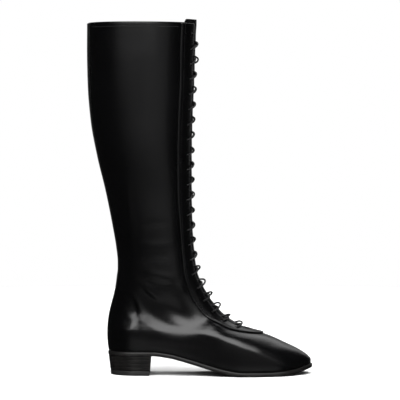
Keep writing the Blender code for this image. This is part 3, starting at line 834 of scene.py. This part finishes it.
def facing_half(side):
    """Rows of places from the collar to the bottom centre of the facing."""
    downs, arcs = [], []
    for line in leg_lines:
        downs.append(np.full(len(across_share), line))
        arcs.append(side * band_place(across_share, line))
    inner_deep = throat_end - bend_start
    outer_deep = facing_end - bend_start
    for angle in turn_angles:
        deep = inner_deep + across_share * (outer_deep - inner_deep)
        down = bend_start + deep * np.sin(angle) ** 0.8
        wide = np.array([band_place(share, d) for share, d in zip(across_share, down)])
        downs.append(down)
        arcs.append(side * wide * np.cos(angle) ** 0.8)
    return np.array(downs), np.array(arcs)


left_down, left_arc = facing_half(-1)
right_down, right_arc = facing_half(1)
band_down = np.vstack([left_down, right_down[-2::-1]])
band_arc = np.vstack([left_arc, right_arc[-2::-1]])


# %% Punching the holes
def corners_of(cells):
    """Grid corners that touch any of the marked cells."""
    found = np.zeros(band_down.shape, bool)
    for a in (0, 1):
        for b in (0, 1):
            found[a: a + cells.shape[0], b: b + cells.shape[1]] |= cells
    return found


cell_down = (band_down[:-1, :-1] + band_down[1:, 1:]) / 2
cell_arc = (band_arc[:-1, :-1] + band_arc[1:, 1:]) / 2
keep = np.ones(cell_down.shape, bool)
for centre in hole_down:
    for side in (-1, 1):
        spot = side * hole_arc(centre)
        inside = (cell_down - centre) ** 2 + (cell_arc - spot) ** 2 < (1.05 * hole_radius) ** 2
        keep &= ~inside
        rim_corners = corners_of(inside) & corners_of(~inside)
        dx = band_down[rim_corners] - centre
        dy = band_arc[rim_corners] - spot
        far = np.maximum(np.hypot(dx, dy), 1e-6)
        band_down[rim_corners] = centre + dx / far * hole_radius
        band_arc[rim_corners] = spot + dy / far * hole_radius
print("facing grid", band_down.shape, "holes", 2 * hole_pairs, "open cells", int((~keep).sum()))

# %% The facing's face: folded rear edge, pressed hole rims, rounded ends
inner_edge = across[None, :]
outer_edge = (width_share - across)[None, :]
cord_ridge = 0.0006 * np.exp(-((outer_edge - 0.0028) / 0.0015) ** 2)
cord_ridge = cord_ridge * (1 - 0.7 * ease((band_down - 0.30) / 0.06))
cord_ridge = cord_ridge - 0.0003 * np.exp(-((outer_edge - 0.0062) / 0.0018) ** 2)
band_top = gap + facing_thickness + cord_ridge + np.zeros(band_down.shape)
band_top -= edge_rounding(np.minimum(inner_edge, outer_edge), 0.0009, facing_thickness - 0.0004)
top_end = np.minimum(np.arange(len(band_down)), np.arange(len(band_down))[::-1])
end_distance = np.array(edge_lines + (0.002,))[np.clip(top_end, 0, 4)]
band_top -= edge_rounding(end_distance, 0.0009, facing_thickness - 0.0004)[:, None]
for centre in hole_down:
    for side in (-1, 1):
        far = np.hypot(band_down - centre, band_arc - side * hole_arc(centre))
        band_top -= 0.00035 * np.exp(-((far - hole_radius) / 0.0007) ** 2)
band_under = np.full(band_down.shape, gap)
facing = plate("lace_facing", on_front(band_down, band_arc, band_top)[0],
               on_front(band_down, band_arc, band_under)[0], [facing_calf], keep)
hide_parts("facing")

# %% [markdown]
# ## The back strip
# One strip covers the seam up the back of the boot. From the side it shows only as a thin
# bright line, so its rounded edges matter more than its face.

# %% The back strip
back_mark = half_marks - 1
strip_share = np.concatenate([[0, .01, .03, .06, .10, .16], np.linspace(.24, .76, 9),
                              [.84, .90, .94, .97, .99, 1]])
strip_marks = back_mark - 2 + 4 * strip_share
strip_rows = np.concatenate([drops[collar_index] + np.array([0, 0.0002, 0.0006, 0.0012]),
                             drops[collar_index + 1: -2], [drops[-1] - 0.0012]])
strip_down, strip_mark = np.meshgrid(strip_rows, strip_marks, indexing="ij")
edge_distance = np.minimum(strip_share, 1 - strip_share) * stay_width * 0.8
strip_top = gap + stay_thickness - edge_rounding(edge_distance, 0.0008, stay_thickness - 0.0003)
strip_top = strip_top[None, :] + np.zeros(strip_down.shape)
strip_top += 0.00025 * np.exp(-((edge_distance - 0.0016) / 0.0008) ** 2)[None, :]
strip_under = np.full(strip_down.shape, gap)
backstay = plate("back_strip", on_skin(strip_down, strip_mark, strip_top)[0],
                 on_skin(strip_down, strip_mark, strip_under)[0], [stay_calf])
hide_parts("backstay")

# %% [markdown]
# ## The tongue
# The tongue is one long flap of soft leather, with no padding in it. It arches between
# the facing's edges and dips under them, which also leaves the lace its way to the next hole.

# %% The tongue
tongue_top_height = 0.0053
tongue_half = 0.030
tongue_lines = np.concatenate([-tongue_top_height + np.array([0, .0003, .0008, .0016, .0030]),
                               np.arange(0.0, throat_end + 0.001, 0.0026),
                               [throat_end + 0.005, throat_end + 0.009, facing_end - 0.002]])
tongue_lines = tongue_lines[tongue_lines > front_drop[0] - 1e-9]
tongue_down, tongue_share = np.meshgrid(tongue_lines, np.linspace(-1, 1, 49), indexing="ij")
facing_reach = np.array([mark_arc(max(d, 0.0), facing_mark) for d in tongue_lines])
tongue_wide = np.minimum(tongue_half, facing_reach - 0.004)
corner = np.clip((tongue_down + tongue_top_height) / 0.012, 0, 1)
tongue_arc = tongue_share * tongue_wide[:, None] * (0.80 + 0.20 * np.sqrt(1 - (1 - corner) ** 2))


def crown(down, arc):
    """Height of the tongue's face over the skin."""
    share = np.abs(arc) / mark_arc(np.clip(down, 0, None), throat_mark)
    swell = smooth([0.0, 0.35, 0.65, 0.9, 1.15, 1.7, 3.2],
                   [2.0, 1.75, 0.9, -0.9, -2.1, -2.35, -2.35], share) / 1000
    ripple = 0.00012 * np.sin(down * 2 * np.pi / lace_pitch + 0.7) * np.clip(1 - share, 0, 1)
    fade = ease((down - (throat_end - 0.016)) / 0.018)
    return (swell + ripple) * (1 - fade) - 0.00236 * fade


tongue_height = crown(tongue_down, tongue_arc)
tongue = plate("tongue_flap", on_front(tongue_down, tongue_arc, tongue_height)[0],
               on_front(tongue_down, tongue_arc, tongue_height - tongue_thickness)[0],
               [tongue_calf], sharp=60.0)
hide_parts("tongue")

# %% [markdown]
# ## The lace
# One waxed round cord criss-crosses from hole to hole. Each half of it starts at a top
# hole, goes down through it and under the facing's edge, crosses over the tongue and lies
# on the other side's facing to the next hole. A tube follows that path; its braid is a
# pattern wound round the tube.

# %% Lace cord finish
cord_wax, cord_surface = new_surface("waxed_cord", (0.003, 0.003, 0.0035), 0.35)
nodes, join = links(cord_wax)
wind = nodes.new("ShaderNodeUVMap")
wind.uv_map = "wind"
split = nodes.new("ShaderNodeSeparateXYZ")
join.new(wind.outputs["UV"], split.inputs["Vector"])


def maths(operation, *values):
    """A maths node whose sockets are numbers or other nodes' outputs."""
    node = nodes.new("ShaderNodeMath")
    node.operation = operation
    for socket, value in zip(node.inputs, values):
        if isinstance(value, float):
            socket.default_value = value
        else:
            join.new(value, socket)
    return node.outputs["Value"]


def strand_wave(slope):
    """Ridges that wind round the cord one way."""
    turn = maths("MULTIPLY_ADD", split.outputs["Y"], slope, split.outputs["X"])
    return maths("SINE", maths("MULTIPLY", turn, 2 * np.pi * 4))


braid_bump = bump(cord_wax, maths("MULTIPLY", strand_wave(1.0), strand_wave(-1.0)), 0.00022)
join.new(braid_bump.outputs["Normal"], cord_surface.inputs["Normal"])
cord_tone = tint(cord_wax, noise(cord_wax, 300.0).outputs["Fac"], (0.0022, 0.0022, 0.0025),
                 (0.0050, 0.0050, 0.0055))
join.new(cord_tone, cord_surface.inputs["Base Color"])
cord_surface.inputs["Coat Weight"].default_value = 0.1
cord_surface.inputs["Coat Roughness"].default_value = 0.3


# %% Rounded paths and tubes
def ring_faces(rings, sides, base=0):
    """Faces of a stack of rings, with a flat face at both ends."""
    faces = []
    for k in range(rings - 1):
        for j in range(sides):
            a = base + k * sides + j
            b = base + k * sides + (j + 1) % sides
            faces.append([a, b, b + sides, a + sides])
    top = base + (rings - 1) * sides
    return faces + [[base + j for j in reversed(range(sides))], [top + j for j in range(sides)]]


def spline(points, step):
    """A rounded path through points, with places a step apart."""
    points = np.asarray(points, float)
    far = np.sqrt(np.maximum(np.linalg.norm(np.diff(points, axis=0), axis=1), 1e-7))
    knots = np.append(0.0, np.cumsum(far))
    slopes = np.diff(points, axis=0) / np.diff(knots)[:, None]
    inner = slopes[:-1] * np.diff(knots)[1:, None] + slopes[1:] * np.diff(knots)[:-1, None]
    inner = inner / (np.diff(knots)[1:] + np.diff(knots)[:-1])[:, None]
    tangents = np.vstack([slopes[:1], inner, slopes[-1:]])
    dense = []
    for k in range(len(points) - 1):
        h = knots[k + 1] - knots[k]
        length = np.linalg.norm(points[k + 1] - points[k])
        t = np.linspace(0, 1, max(3, int(length / step * 2)), endpoint=False)[:, None]
        dense.append((1 + 2 * t) * (1 - t) ** 2 * points[k] + t * (1 - t) ** 2 * h * tangents[k]
                     + t * t * (3 - 2 * t) * points[k + 1] + t * t * (t - 1) * h * tangents[k + 1])
    dense = np.vstack(dense + [points[-1:]])
    run = run_of(dense)
    return read_along(np.linspace(0, run[-1], max(3, int(run[-1] / step))), run, dense)


def tube(path, radius, sides=10):
    """Rings round a path without twist, with round ends. Gives points, faces and uvs."""
    way = unit(np.gradient(path, axis=0))
    side_way = unit(np.cross(way[0], [0.3, 0.9, 0.2]))
    rings = []
    run = run_of(path)
    angles = 2 * np.pi * np.arange(sides)[:, None] / sides
    for k in range(len(path)):
        side_way = unit(side_way - way[k] * np.dot(side_way, way[k]))
        other = np.cross(way[k], side_way)
        end = min(run[k], run[-1] - run[k])
        size = radius * np.sqrt(1 - (1 - min(end / radius, 1.0)) ** 2 * 0.9)
        rings.append(path[k] + size * (np.cos(angles) * side_way + np.sin(angles) * other))
    uvs = []
    turns_run = run / (2 * np.pi * radius)
    for k in range(len(path) - 1):
        for j in range(sides):
            u0, u1 = j / sides, (j + 1) / sides
            v0, v1 = turns_run[k], turns_run[k + 1]
            uvs.append([(u0, v0), (u1, v0), (u1, v1), (u0, v1)])
    uvs += [[(0.0, 0.0)] * sides, [(0.0, turns_run[-1])] * sides]
    return np.vstack(rings), ring_faces(len(path), sides), uvs


# %% [markdown]
# How a lace lies is a matter of heights. On the facing it rests on its face, under the
# facing it runs below the skin, and over the tongue it sinks in a little. Two strands cross
# at every pitch, so one of them goes over the other. A few crossings are slack, as in the
# photograph, and stand up in small loops.

# %% The lace's places
lace_on_facing = gap + facing_thickness + lace_radius + 0.00005
lace_under = gap - lace_radius - 0.00005
pressed_in = 0.0005
over_tongue = 0.0020 + lace_radius - pressed_in
over_both = over_tongue + 1.9 * lace_radius
# extra height, and shift down in pitches, of the crossing that starts on a side at a hole
slack = {(-1, 1): 0.0012, (1, 2): -0.0004, (1, 3): 0.0014, (-1, 4): 0.0002, (-1, 6): 0.0013,
         (1, 8): -0.0003, (1, 10): 0.0004, (-1, 13): -0.0003, (-1, 15): 0.0018, (1, 15): 0.0004,
         (1, 16): 0.0026, (-1, 17): 0.0030, (1, 17): 0.0008, (1, 18): 0.0028,
         (-1, 19): 0.0012, (1, 20): 0.0006}
hang = {(-1, 1): 0.03, (1, 3): -0.03, (-1, 4): 0.05, (1, 5): -0.07, (-1, 7): 0.06,
        (1, 9): -0.04, (-1, 11): 0.05, (1, 12): 0.04, (-1, 14): -0.04, (-1, 15): -0.06,
        (1, 16): 0.04, (-1, 17): 0.02}


def strand(start_side):
    """Down, arc and height of places along half of the lace, from its end at the top hole."""
    arc = start_side * hole_arc(hole_down[0])
    spots = [(hole_down[0], arc, lace_on_facing + 0.0012), (hole_down[0], arc, 0.0016)]
    side = start_side
    for k in range(hole_pairs - 1):
        here, after = hole_down[k], hole_down[k + 1]
        arc = side * hole_arc(here)
        next_arc = -side * hole_arc(after)
        pitch = after - here
        edge = mark_arc(here + 0.5 * pitch, throat_mark)
        over = (k % 2 == 0) == (side > 0)
        slack_here = slack.get((side, k), 0.0)
        top = (over_both if over else over_tongue) + slack_here
        sag = hang.get((side, k), 0.0) - 4.0 * max(slack_here - 0.0015, 0.0) / 0.1
        spots += [
            (here, arc, 0.0006),
            (here + 0.0003, arc, lace_under + 0.0004),
            (here + 0.12 * pitch, arc * 0.94, lace_under - 0.0001),
            (here + 0.30 * pitch, side * (edge + 0.0012), lace_under),
            (here + 0.43 * pitch, side * 0.78 * edge, 0.0012 + 0.3 * max(slack_here, 0.0)),
            (here + (0.54 + sag) * pitch, side * 0.42 * edge, 0.90 * top),
            (here + (0.64 + sag) * pitch, 0.0, top),
            (here + (0.74 + sag) * pitch, -side * 0.42 * edge, 0.94 * top),
            (here + (0.83 + 0.6 * sag) * pitch, -side * 0.78 * edge,
             0.55 * top + 0.45 * lace_on_facing),
            (here + 0.91 * pitch, -side * (edge + 0.0022), lace_on_facing),
            (here + 0.97 * pitch, next_arc * 0.92, lace_on_facing + 0.0001),
            (after, next_arc, 0.0016),
        ]
        side = -side
    spots.append((hole_down[-1], side * hole_arc(hole_down[-1]), 0.0006))
    return spots


def lace_path(spots):
    down, arc, height = np.array(spots).T
    return spline(on_front(down, arc, height)[0], 0.0009)


# %% The bottom bar, and the whole lace
last_hole = hole_down[-1]
bar_spots = []
for share in (-1.0, -0.97, -0.80, -0.55, -0.28, 0.28, 0.55, 0.80, 0.97, 1.0):
    arc = share * hole_arc(last_hole)
    over_here = float(crown(last_hole, arc)) + lace_radius - 0.0002
    under_here = lace_under + (0.0015 if abs(share) == 1.0 else 0.0)
    bar_spots.append((last_hole, arc, over_here if abs(share) < 0.6 else under_here))
lace_paths = [lace_path(spots) for spots in (strand(-1), strand(1), bar_spots)]
points, faces, uvs = [], [], []
for path in lace_paths:
    p, f, u = tube(path, lace_radius)
    faces += [[i + len(points) for i in face] for face in f]
    points += list(p)
    uvs += u
lace = piece_from("waxed_lace", points, faces, [cord_wax], 60.0)
by_face = {tuple(sorted(f)): dict(zip(f, u)) for f, u in zip(faces, uvs)}
flat = [by_face[tuple(sorted(polygon.vertices))][v]
        for polygon in lace.data.polygons for v in polygon.vertices]
winding = lace.data.uv_layers.new(name="wind")
winding.data.foreach_set("uv", np.array(flat, np.float32).ravel())
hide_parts("lace")
print("lace in the boot", round(float(sum(run_of(path)[-1] for path in lace_paths)), 3), "m")

# %% [markdown]
# ## The sole
# The photograph stops above the sole, so it is finished plainly: a thin leather outsole
# with a waxed edge, a low stacked heel and a rubber top lift. Each is a stack of outlines
# of the same sole, grown or drawn in a little at each level, so its edges are round.

# %% Outlines of the sole
feather_back = rows[feather_row]["back"] * foot_length
feather_front = rows[feather_row]["front"] * foot_length
outline_angles = np.linspace(0.0, np.pi, 121)


def sole_outline(grow, back=None, front=None):
    """A closed outline of the sole from heel to toe and back, grown all round."""
    back = feather_back - grow if back is None else back
    front = feather_front + grow if front is None else front
    x = back + (1 - np.cos(outline_angles)) / 2 * (front - back)
    share = np.clip((x - feather_back + grow) / (feather_front - feather_back + 2 * grow), 0, 1)
    inside = feather_back + share * (feather_front - feather_back)
    ends = cap((x - feather_back + grow) / 0.02) * cap((feather_front + grow - x) / 0.03)
    middle = toe_swing * sole_column("swing", inside)
    sides = []
    for side in (-1, 1):
        points, run = half_ring(rows[feather_row], side)
        reach = side * (points[:, 1] - toe_swing * sole_column("swing", points[:, 0]))
        half = np.interp(-inside, -points[:, 0], reach) + grow * ends
        sides.append(np.stack([x, middle + side * np.maximum(half, 0.00002)], axis=1))
    return np.vstack([sides[0], sides[1][-2:0:-1]])


def stacked(name, levels, finish, sharp=40.0):
    """A closed body from a stack of outlines with heights, lowest first."""
    count = len(levels[0])
    faces = ring_faces(len(levels), count)[:-2]
    half = count // 2
    for base in (0, (len(levels) - 1) * count):
        for j in range(half):
            left = [base + j, base + j + 1]
            right = [base + (count - j - 1) % count, base + (count - j) % count]
            loop = list(dict.fromkeys(left + right))
            if len(loop) > 2:
                faces.append(loop)
    return piece_from(name, np.vstack(levels) - origin, faces, [finish], sharp)


def level(grow, heights, **ends):
    outline = sole_outline(grow, **ends)
    return np.column_stack([outline, heights(outline[:, 0])])


# %% The outsole
edge_wax = plain_finish("edge_wax", (0.004, 0.0038, 0.0036), 0.4, (60.0, 4.0),
                        (0.003, 0.0028, 0.0027), (0.007, 0.0064, 0.0060), (700.0, 4.0), 0.00012,
                        (0.36, 0.52))
outsole_levels = ((0.0010, 0.0), (0.0003, 0.0002), (0.0, 0.0009), (0.0, 0.0040),
                  (0.0003, 0.0047), (0.0008, 0.0050))
outsole = stacked("leather_outsole", [level(outsole_edge - inset, lambda x: tread(x) + rise)
                                      for inset, rise in outsole_levels], edge_wax)
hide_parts("outsole")

# %% The stacked heel
tread_back = feather_back + tread_inset
tread_front = heel_seat * foot_length - heel_undercut
heel_front = heel_seat * foot_length


def heel_level(share, z, inset=0.0):
    """An outline of the heel, drawn in towards the tread as the heel goes down."""
    grow = heel_edge * (1 - share) - tread_inset * share - inset
    back = (feather_back - heel_edge) + share * (tread_back - feather_back + heel_edge) + inset
    front = heel_front + share * (tread_front - heel_front) - inset
    return level(grow, lambda x: np.full(len(x), z), back=back, front=front)


heel_wax = plain_finish("heel_stack_wax", (0.004, 0.0038, 0.0036), 0.35, (90.0, 4.0),
                        (0.0027, 0.0025, 0.0024), (0.0066, 0.0059, 0.0055), (900.0, 3.0), 0.0001,
                        (0.30, 0.44))
block_low = top_lift_thickness + gap
block_top = heel_height - gap
lift_count = 4
block_levels = [heel_level(0.80, block_low, 0.0004)]
for k in range(lift_count):
    low = block_low + (block_top - block_low) * k / lift_count
    high = block_low + (block_top - block_low) * (k + 1) / lift_count
    for z, inset in ((low + 0.0002, 0.0001), (low + 0.0005, 0.0), (high - 0.0005, 0.0),
                     (high - 0.0002, 0.0001), (high, 0.0004)):
        share = 0.80 * (block_top - z) / (block_top - block_low)
        block_levels.append(heel_level(share, z, inset))
heel_block = stacked("stacked_heel", block_levels, heel_wax)
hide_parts("heel_block")

# %% The top lift
lift_rubber = plain_finish("lift_rubber", (0.007, 0.007, 0.007), 0.7, (120.0,),
                           (0.006, 0.006, 0.006), (0.011, 0.011, 0.011), (1200.0,), 0.00015)
top_lift = stacked("rubber_top_lift", [
    heel_level(1.0, 0.0, 0.0006),
    heel_level(0.99, 0.0004, 0.0001),
    heel_level(0.97, 0.0010),
    heel_level(0.86, top_lift_thickness - 0.0006),
    heel_level(0.85, top_lift_thickness, 0.0004),
], lift_rubber)
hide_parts("top_lift")

# %% The insole under the foot
sock = plain_finish("sock_leather", (0.10, 0.075, 0.05), 0.6, (30.0,),
                    (0.085, 0.062, 0.042), (0.13, 0.098, 0.066), (800.0,), 0.0002)
insole_grow = -(wall + 0.0014)
insole_levels = ((0.0, 0.0), (0.0, insole_thickness - 0.0006), (0.0006, insole_thickness))
insole = stacked("sock_insole", [level(insole_grow - inset, lambda x: seat(x) + insole_rise + rise)
                                 for inset, rise in insole_levels], sock)
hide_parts("insole")

# %% [markdown]
# ## Stitches
# The seams are sewn in black thread that hardly shows, but it gives the edges their scale.
# Each stitch is a short capsule pressed into the leather along a line of places.

# %% Stitches
thread = plain_finish("black_thread", (0.012, 0.012, 0.013), 0.5, (900.0,),
                      (0.010, 0.010, 0.011), (0.026, 0.026, 0.028), (4000.0,), 0.00008)
thread_radius = 0.00022
stitch_length = 0.0022
stitch_pitch = 0.0029


# along a stitch, in stitch lengths, and its thickness there
stitch_profile = ((-0.5, 0.15), (-0.42, 0.8), (-0.2, 1.0), (0.2, 1.0), (0.42, 0.8), (0.5, 0.15))


def stitch_piece(name, seams, sides=6):
    """Capsules along paths of points, each leaning a little as sewn thread does."""
    points = []
    faces = []
    angles = 2 * np.pi * np.arange(sides)[:, None] / sides
    for path, outs in seams:
        run = run_of(path)
        for place in (np.arange(run[-1] // stitch_pitch) + 0.5) * stitch_pitch:
            spot = read_along(place, run, path)
            out = unit(read_along(place, run, outs))
            way = unit(read_along(place + 0.001, run, path) - spot)
            way = unit(way + 0.10 * np.cross(out, way))
            ring = thread_radius * (np.cos(angles) * out + np.sin(angles) * np.cross(out, way))
            faces += ring_faces(len(stitch_profile), sides, len(points))
            for share, size in stitch_profile:
                sink = -0.6 * thread_radius * (2 * abs(share)) ** 3
                points += list(spot + way * share * stitch_length + out * sink + size * ring)
    return piece_from(name, points, faces, [thread], 60.0)


def band_line(distance_from_outer, height):
    """A line along the facing at a distance from its rear edge."""
    share = 1 - distance_from_outer / width_share
    column = np.interp(share, across_share, np.arange(len(across_share)))
    c0 = int(column)
    t = column - c0
    down, arc = (places[3:-3, c0] * (1 - t) + places[3:-3, c0 + 1] * t
                 for places in (band_down, band_arc))
    return on_front(down, arc, np.full(len(down), height))


# %% Seams
facing_face = gap + facing_thickness
seams = [band_line(0.0052, facing_face - 0.0002), band_line(width_share - 0.0022, facing_face)]
stitch_piece("facing_stitches", seams)
seam_rows = strip_rows[4:-1]
stitch_piece("strip_stitches",
             [on_skin(seam_rows, back_mark - 2 + 4 * share,
                      np.full(len(seam_rows), gap + stay_thickness)) for share in (0.10, 0.90)])
collar_spans = ((4.25, 14.7), (turns - 14.7, turns - 4.25))
stitch_piece("collar_stitches",
             [on_skin(collar_drop + 0.005, np.linspace(*span, 160), np.full(160, 0.00005))
              for span in collar_spans])

# %% [markdown]
# ## The studio
# The photograph shows the boot level from its outer side, cut out on white. A long lens
# keeps the shape true. Black gloss shows only what it mirrors, so the lights are large
# panels that fade out softly at their edges: one above and in front lights the foot, one
# beside the camera draws the broad soft band up the shaft, and weaker ones fill in. The
# floor is a disc of white paper, and the air is white for the camera alone.

# %% Camera
low, high = (np.array(v) for v in cad_box)
middle = (low + high) / 2
camera_data = bpy.data.cameras.new("photo_view")
camera_data.lens = 200
camera_data.sensor_width = 36
camera = bpy.data.objects.new("photo_view", camera_data)
bpy.context.scene.collection.objects.link(camera)
bpy.context.scene.camera = camera
picture_height = (high[2] - low[2]) * 1.13
distance = picture_height / 2 / (18 / camera_data.lens)
elevation = np.radians(2.0)
aim = Vector((float(middle[0]), 0.0, float(middle[2]) - 0.004))
away = Vector((0.0, -float(np.cos(elevation)), float(np.sin(elevation))))
camera.location = aim + away * float(distance)
camera.rotation_mode = "QUATERNION"
camera.rotation_quaternion = (-away).to_track_quat("-Z", "Y")
print("camera", round(float(distance), 3), "m away")

# %% Paper floor
paper = plain_finish("studio_paper", (0.88, 0.88, 0.87), 0.75, (3.0,),
                     (0.93, 0.93, 0.928), (0.95, 0.95, 0.948), (400.0,), 0.00005)
floor_sides = 96
floor_points = [(0.1, 0.0, -0.0002)]
for radius in (0.5, 1.0, 1.5):
    for angle in 2 * np.pi * np.arange(floor_sides) / floor_sides:
        floor_points.append((0.1 + radius * np.cos(angle), radius * np.sin(angle), -0.0002))
floor_faces = []
for k in range(floor_sides):
    after = (k + 1) % floor_sides
    floor_faces.append((0, 1 + k, 1 + after))
    for low in (1, 1 + floor_sides):
        high = low + floor_sides
        floor_faces.append((low + k, high + k, high + after, low + after))
floor_mesh = bpy.data.meshes.new("paper_floor")
floor_mesh.from_pydata(floor_points, [], floor_faces)
floor_mesh.materials.append(paper)
paper_floor = bpy.data.objects.new("paper_floor", floor_mesh)
bpy.context.collection.objects.link(paper_floor)
paper_floor.visible_glossy = False
paper_floor.visible_shadow = False


# %% Soft panels
def soften(data, left, right, bottom, top):
    """Lets a panel fade in from its edges, over shares of its width and height."""
    data.use_nodes = True
    nodes, join = data.node_tree.nodes, data.node_tree.links
    axes = nodes.new("ShaderNodeSeparateXYZ")
    join.new(nodes.new("ShaderNodeNewGeometry").outputs["Parametric"], axes.inputs["Vector"])
    glow = None
    for axis, start, end in (("X", 0.0, left), ("X", 1.0, 1.0 - right),
                             ("Y", 0.0, bottom), ("Y", 1.0, 1.0 - top)):
        fade = nodes.new("ShaderNodeMapRange")
        fade.interpolation_type = "SMOOTHSTEP"
        fade.inputs["From Min"].default_value = start
        fade.inputs["From Max"].default_value = end
        join.new(axes.outputs[axis], fade.inputs["Value"])
        both = nodes.new("ShaderNodeMath")
        both.operation = "MULTIPLY"
        both.inputs[0].default_value = 1.0
        if glow is not None:
            join.new(glow, both.inputs[0])
        join.new(fade.outputs["Result"], both.inputs[1])
        glow = both.outputs["Value"]
    join.new(glow, nodes["Emission"].inputs["Strength"])


def softbox(name, place, target, size, power, soft=None):
    """A panel light, unseen by the camera; soft says how far it fades in from its edges."""
    data = bpy.data.lights.new(name, "AREA")
    data.shape = "RECTANGLE"
    data.size, data.size_y = size
    data.energy = power
    made = bpy.data.objects.new(name, data)
    bpy.context.collection.objects.link(made)
    made.location = place
    made.rotation_mode = "QUATERNION"
    made.rotation_quaternion = (Vector(target) - Vector(place)).to_track_quat("-Z", "Y")
    made.visible_camera = False
    if soft is not None:
        soften(data, *soft)
    return made


# %% The panels and the air
for name, spot, target, size, power in (
        ("paper_glow", (0.1, 0.2, 3.2), (0.1, 0.3, 0.0), (4.5, 4.5), 150),
        ("front_glow", (0.1, -1.2, 2.2), (0.1, 1.5, 0.5), (3.0, 1.0), 40)):
    softbox(name, spot, target, size, power).visible_glossy = False
foot, centre = (0.09, 0.0, 0.07), (0.06, 0.0, 0.25)
softbox("foot_panel", (-0.13, -2.47, 2.61), foot, (5.2, 4.4), 285, (0.25, 0.25, 0.28, 0.15))
softbox("side_panel", (0.125, -1.6, 0.30), (0.125, 0.0, 0.30), (4.05, 1.5), 5.7,
        (0.85, 0.08, 0.47, 0.20))
softbox("collar_panel", (0.72, -1.6, 0.72), (0.72, 0.0, 0.72), (0.95, 0.8), 2.2,
        (0.45, 0.45, 0.45, 0.30))
softbox("low_panel", (0.3, -1.6, -0.85), (0.3, 0.0, -0.85), (3.4, 1.1), 3.6,
        (0.45, 0.20, 0.20, 0.45))
softbox("inner_panel", (0.2, 2.2, 0.40), (0.2, 0.0, 0.40), (3.6, 1.5), 3.4,
        (0.35, 0.35, 0.35, 0.25))
softbox("inner_foot_panel", (0.3, 2.3, 2.5), foot, (4.0, 2.6), 40, (0.25, 0.25, 0.28, 0.15))
softbox("rim_strip", (0.85, 1.3, 0.45), centre, (0.5, 1.3), 0.8)
world = bpy.data.worlds.new("studio_air")
bpy.context.scene.world = world
world.use_nodes = True
air = world.node_tree.nodes["Background"]
air.inputs["Color"].default_value = (1.0, 1.0, 1.0, 1.0)
rays = world.node_tree.nodes.new("ShaderNodeLightPath")
seen = world.node_tree.nodes.new("ShaderNodeMapRange")
seen.inputs["To Min"].default_value = 0.015
seen.inputs["To Max"].default_value = 1.0
world.node_tree.links.new(rays.outputs["Is Camera Ray"], seen.inputs["Value"])
world.node_tree.links.new(seen.outputs["Result"], air.inputs["Strength"])
bpy.context.scene.view_settings.view_transform = "Standard"

print("cad box", [round(c, 4) for v in cad_box for c in v])
